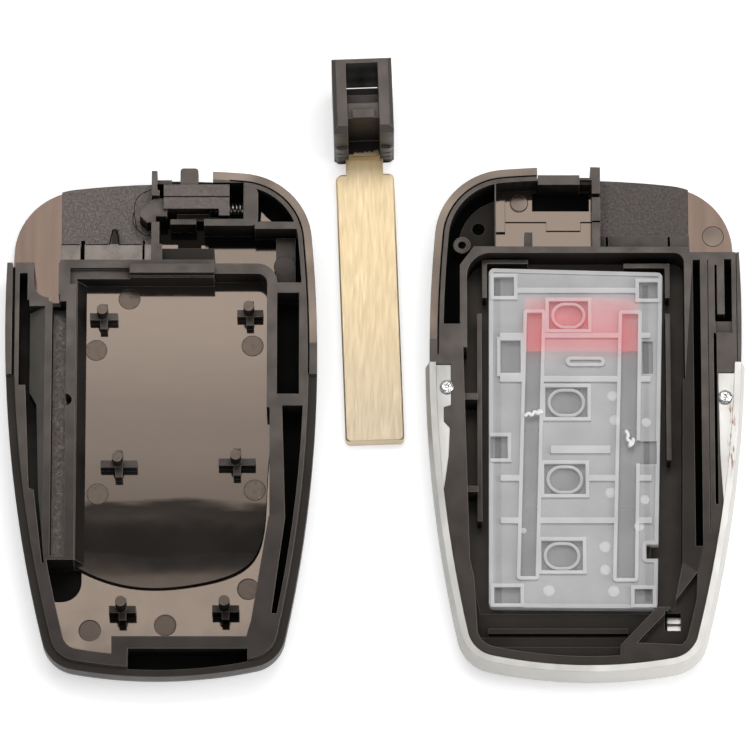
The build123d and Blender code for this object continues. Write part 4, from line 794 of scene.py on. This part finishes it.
def add_slabs():
    """The slivers of floor, the gold flash of the key's head, the lip in its window, and the plate of
    painted shade by the latch.
    """
    for count, outline in enumerate(GLINTS):
        corners = [on_back(u, v) for u, v in outline]
        add_slab(f"glint_{count}", corners, SLIVER_LOW, SLIVER_HIGH, polished)
    before, inside = MOUTH - BURR_SKIN, MOUTH + BURR_ROOT
    above = MOUTH_TOP + BURR_SKIN
    ragged = [on_key(u, MOUTH + depth) for u, depth in BURR]
    ragged += [on_key(BURR_HALF, before), on_key(-BURR_HALF, before)]
    add_slab("burr_top", ragged, MOUTH_TOP - BURR_ROOT, above, gold)
    front = [
        on_key(-BURR_HALF, before), on_key(BURR_HALF, before),
        on_key(BURR_HALF, inside), on_key(-BURR_HALF, inside),
    ]
    add_slab("burr_front", front, BLADE_TOP - BURR_ROOT, above, gold)
    add_slab("key_window_bar", [on_key(u, v) for u, v in LIP], LIP_LOW, LIP_HIGH, dim)
    add_slab("latch_shade", [on_back(u, v) for u, v in SHADE], SLIVER_LOW, SLIVER_HIGH, shadowed)


# The latch's spring, from its seat in the slider to the stop wall
COIL_FROM, COIL_TO = -24.75, -19.84
COIL_Y, COIL_Z = 26.18, 4.6
COIL_RADIUS = 0.95
COIL_TURNS = 9
COIL_STEPS = 12  # a turn
COIL_WIRE = 0.13  # radius of the wire


def add_spring():
    """The latch's coil, which rides on the shell in place of the part's own spring."""
    steps = COIL_TURNS * COIL_STEPS
    points = []
    for step in range(steps + 1):
        angle = 2 * pi * COIL_TURNS * step / steps
        x = COIL_FROM + (COIL_TO - COIL_FROM) * step / steps
        y = COIL_Y + COIL_RADIUS * cos(angle)
        z = COIL_Z + COIL_RADIUS * sin(angle)
        points.append(Vector((x, y, z)) * MM)
    line = add_line("coil_line", points, COIL_WIRE, steel)
    made = line.evaluated_get(bpy.context.evaluated_depsgraph_get())
    mesh = bpy.data.meshes.new_from_object(made)
    bpy.data.objects.remove(line)
    coil = bpy.data.objects.new("spring_coil", mesh)
    bpy.context.scene.collection.objects.link(coil)
    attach(coil, "shell")
    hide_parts("latch_spring")
    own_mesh(coil)


# White scraps that the mould left on the pad, which wave a little in height
SCRAP_HEIGHT = 5.05
SCRAP_WAVE = 0.12
SCRAP_RADIUS = 0.26
PAD_SCRAPS = (
    ((-8.9, 0.9), (-8.4, 1.5), (-7.9, 0.9), (-7.4, 1.7), (-7.0, 1.1), (-6.7, 2.0), (-6.4, 1.3)),
    ((6.1, -1.4), (6.6, -2.0), (6.2, -2.7), (6.9, -3.2), (6.5, -3.9), (7.3, -3.4), (7.2, -2.6)),
)

# Black threads of flash beside the latch's nose
THREAD_RADIUS = 0.06
NOSE_THREADS = (
    (
        (-1.9, 36.7, 6.5), (-3.0, 36.5, 5.9), (-4.0, 36.0, 5.2),
        (-4.5, 34.6, 4.8), (-4.4, 33.0, 4.4), (-4.1, 31.6, 4.0),
    ),
    (
        (-4.4, 34.0, 4.8), (-4.8, 33.0, 4.4), (-4.4, 31.7, 4.0),
        (-3.5, 30.8, 3.6), (-2.7, 30.5, 3.2), (-2.1, 30.7, 3.0),
    ),
)

# Painted shadow lines along the back of the ledge behind the key head's pocket, and round its nub
SHADOW_LINE_HEIGHT = 5.0
SHADOW_LINE_RADIUS = 0.08
SHADOW_LINES = (
    ((-15.3, 28.5), (-14.0, 28.55), (-12.6, 28.5)),
    (
        (-11.7, 28.5), (-10.0, 28.55), (-8.0, 28.5), (-7.95, 29.6),
        (-7.6, 30.9), (-7.2, 30.9), (-6.75, 29.6), (-6.7, 28.5),
    ),
    ((-6.7, 28.5), (-5.0, 28.55), (-3.3, 28.5)),
)


def add_flash():
    """The scraps, threads and painted shadow lines."""
    for count, path in enumerate(PAD_SCRAPS):
        points = []
        for step, (u, v) in enumerate(path):
            points.append(on_front(u, v, SCRAP_HEIGHT + SCRAP_WAVE * (step % 2)))
        add_line(f"pad_scrap_{count}", points, SCRAP_RADIUS, scrap)
    for count, thread in enumerate(NOSE_THREADS):
        add_line(f"nose_thread_{count}", [on_back(*point) for point in thread], THREAD_RADIUS, shadowed)
    for count, shadow_line in enumerate(SHADOW_LINES):
        points = [on_back(u, v, SHADOW_LINE_HEIGHT) for u, v in shadow_line]
        add_line(f"ledge_shadow_line_{count}", points, SHADOW_LINE_RADIUS, shadowed)


bpy.context.scene.view_settings.view_transform = "Standard"
add_camera()
add_world()
add_floor()
add_softbox("overhead", (0, 0.245, 0.6), (0.42, 0.23), 1.35)
add_softbox("near", (0, 0.02, 0.62), (0.42, 0.10), 0.18)
add_softbox("fill", (0, -0.1, 1.0), (1.2, 1.2), 4.4, glossy=False)
add_softbox("right", (0.7, -0.1, 0.35), (0.3, 0.5), 2.4)
add_softbox("front", (0.1, -0.7, 0.25), (0.6, 0.2), 0.9)
dress_nodes()
add_marks()
add_domes()
add_caps()
add_slabs()
add_spring()
add_flash()
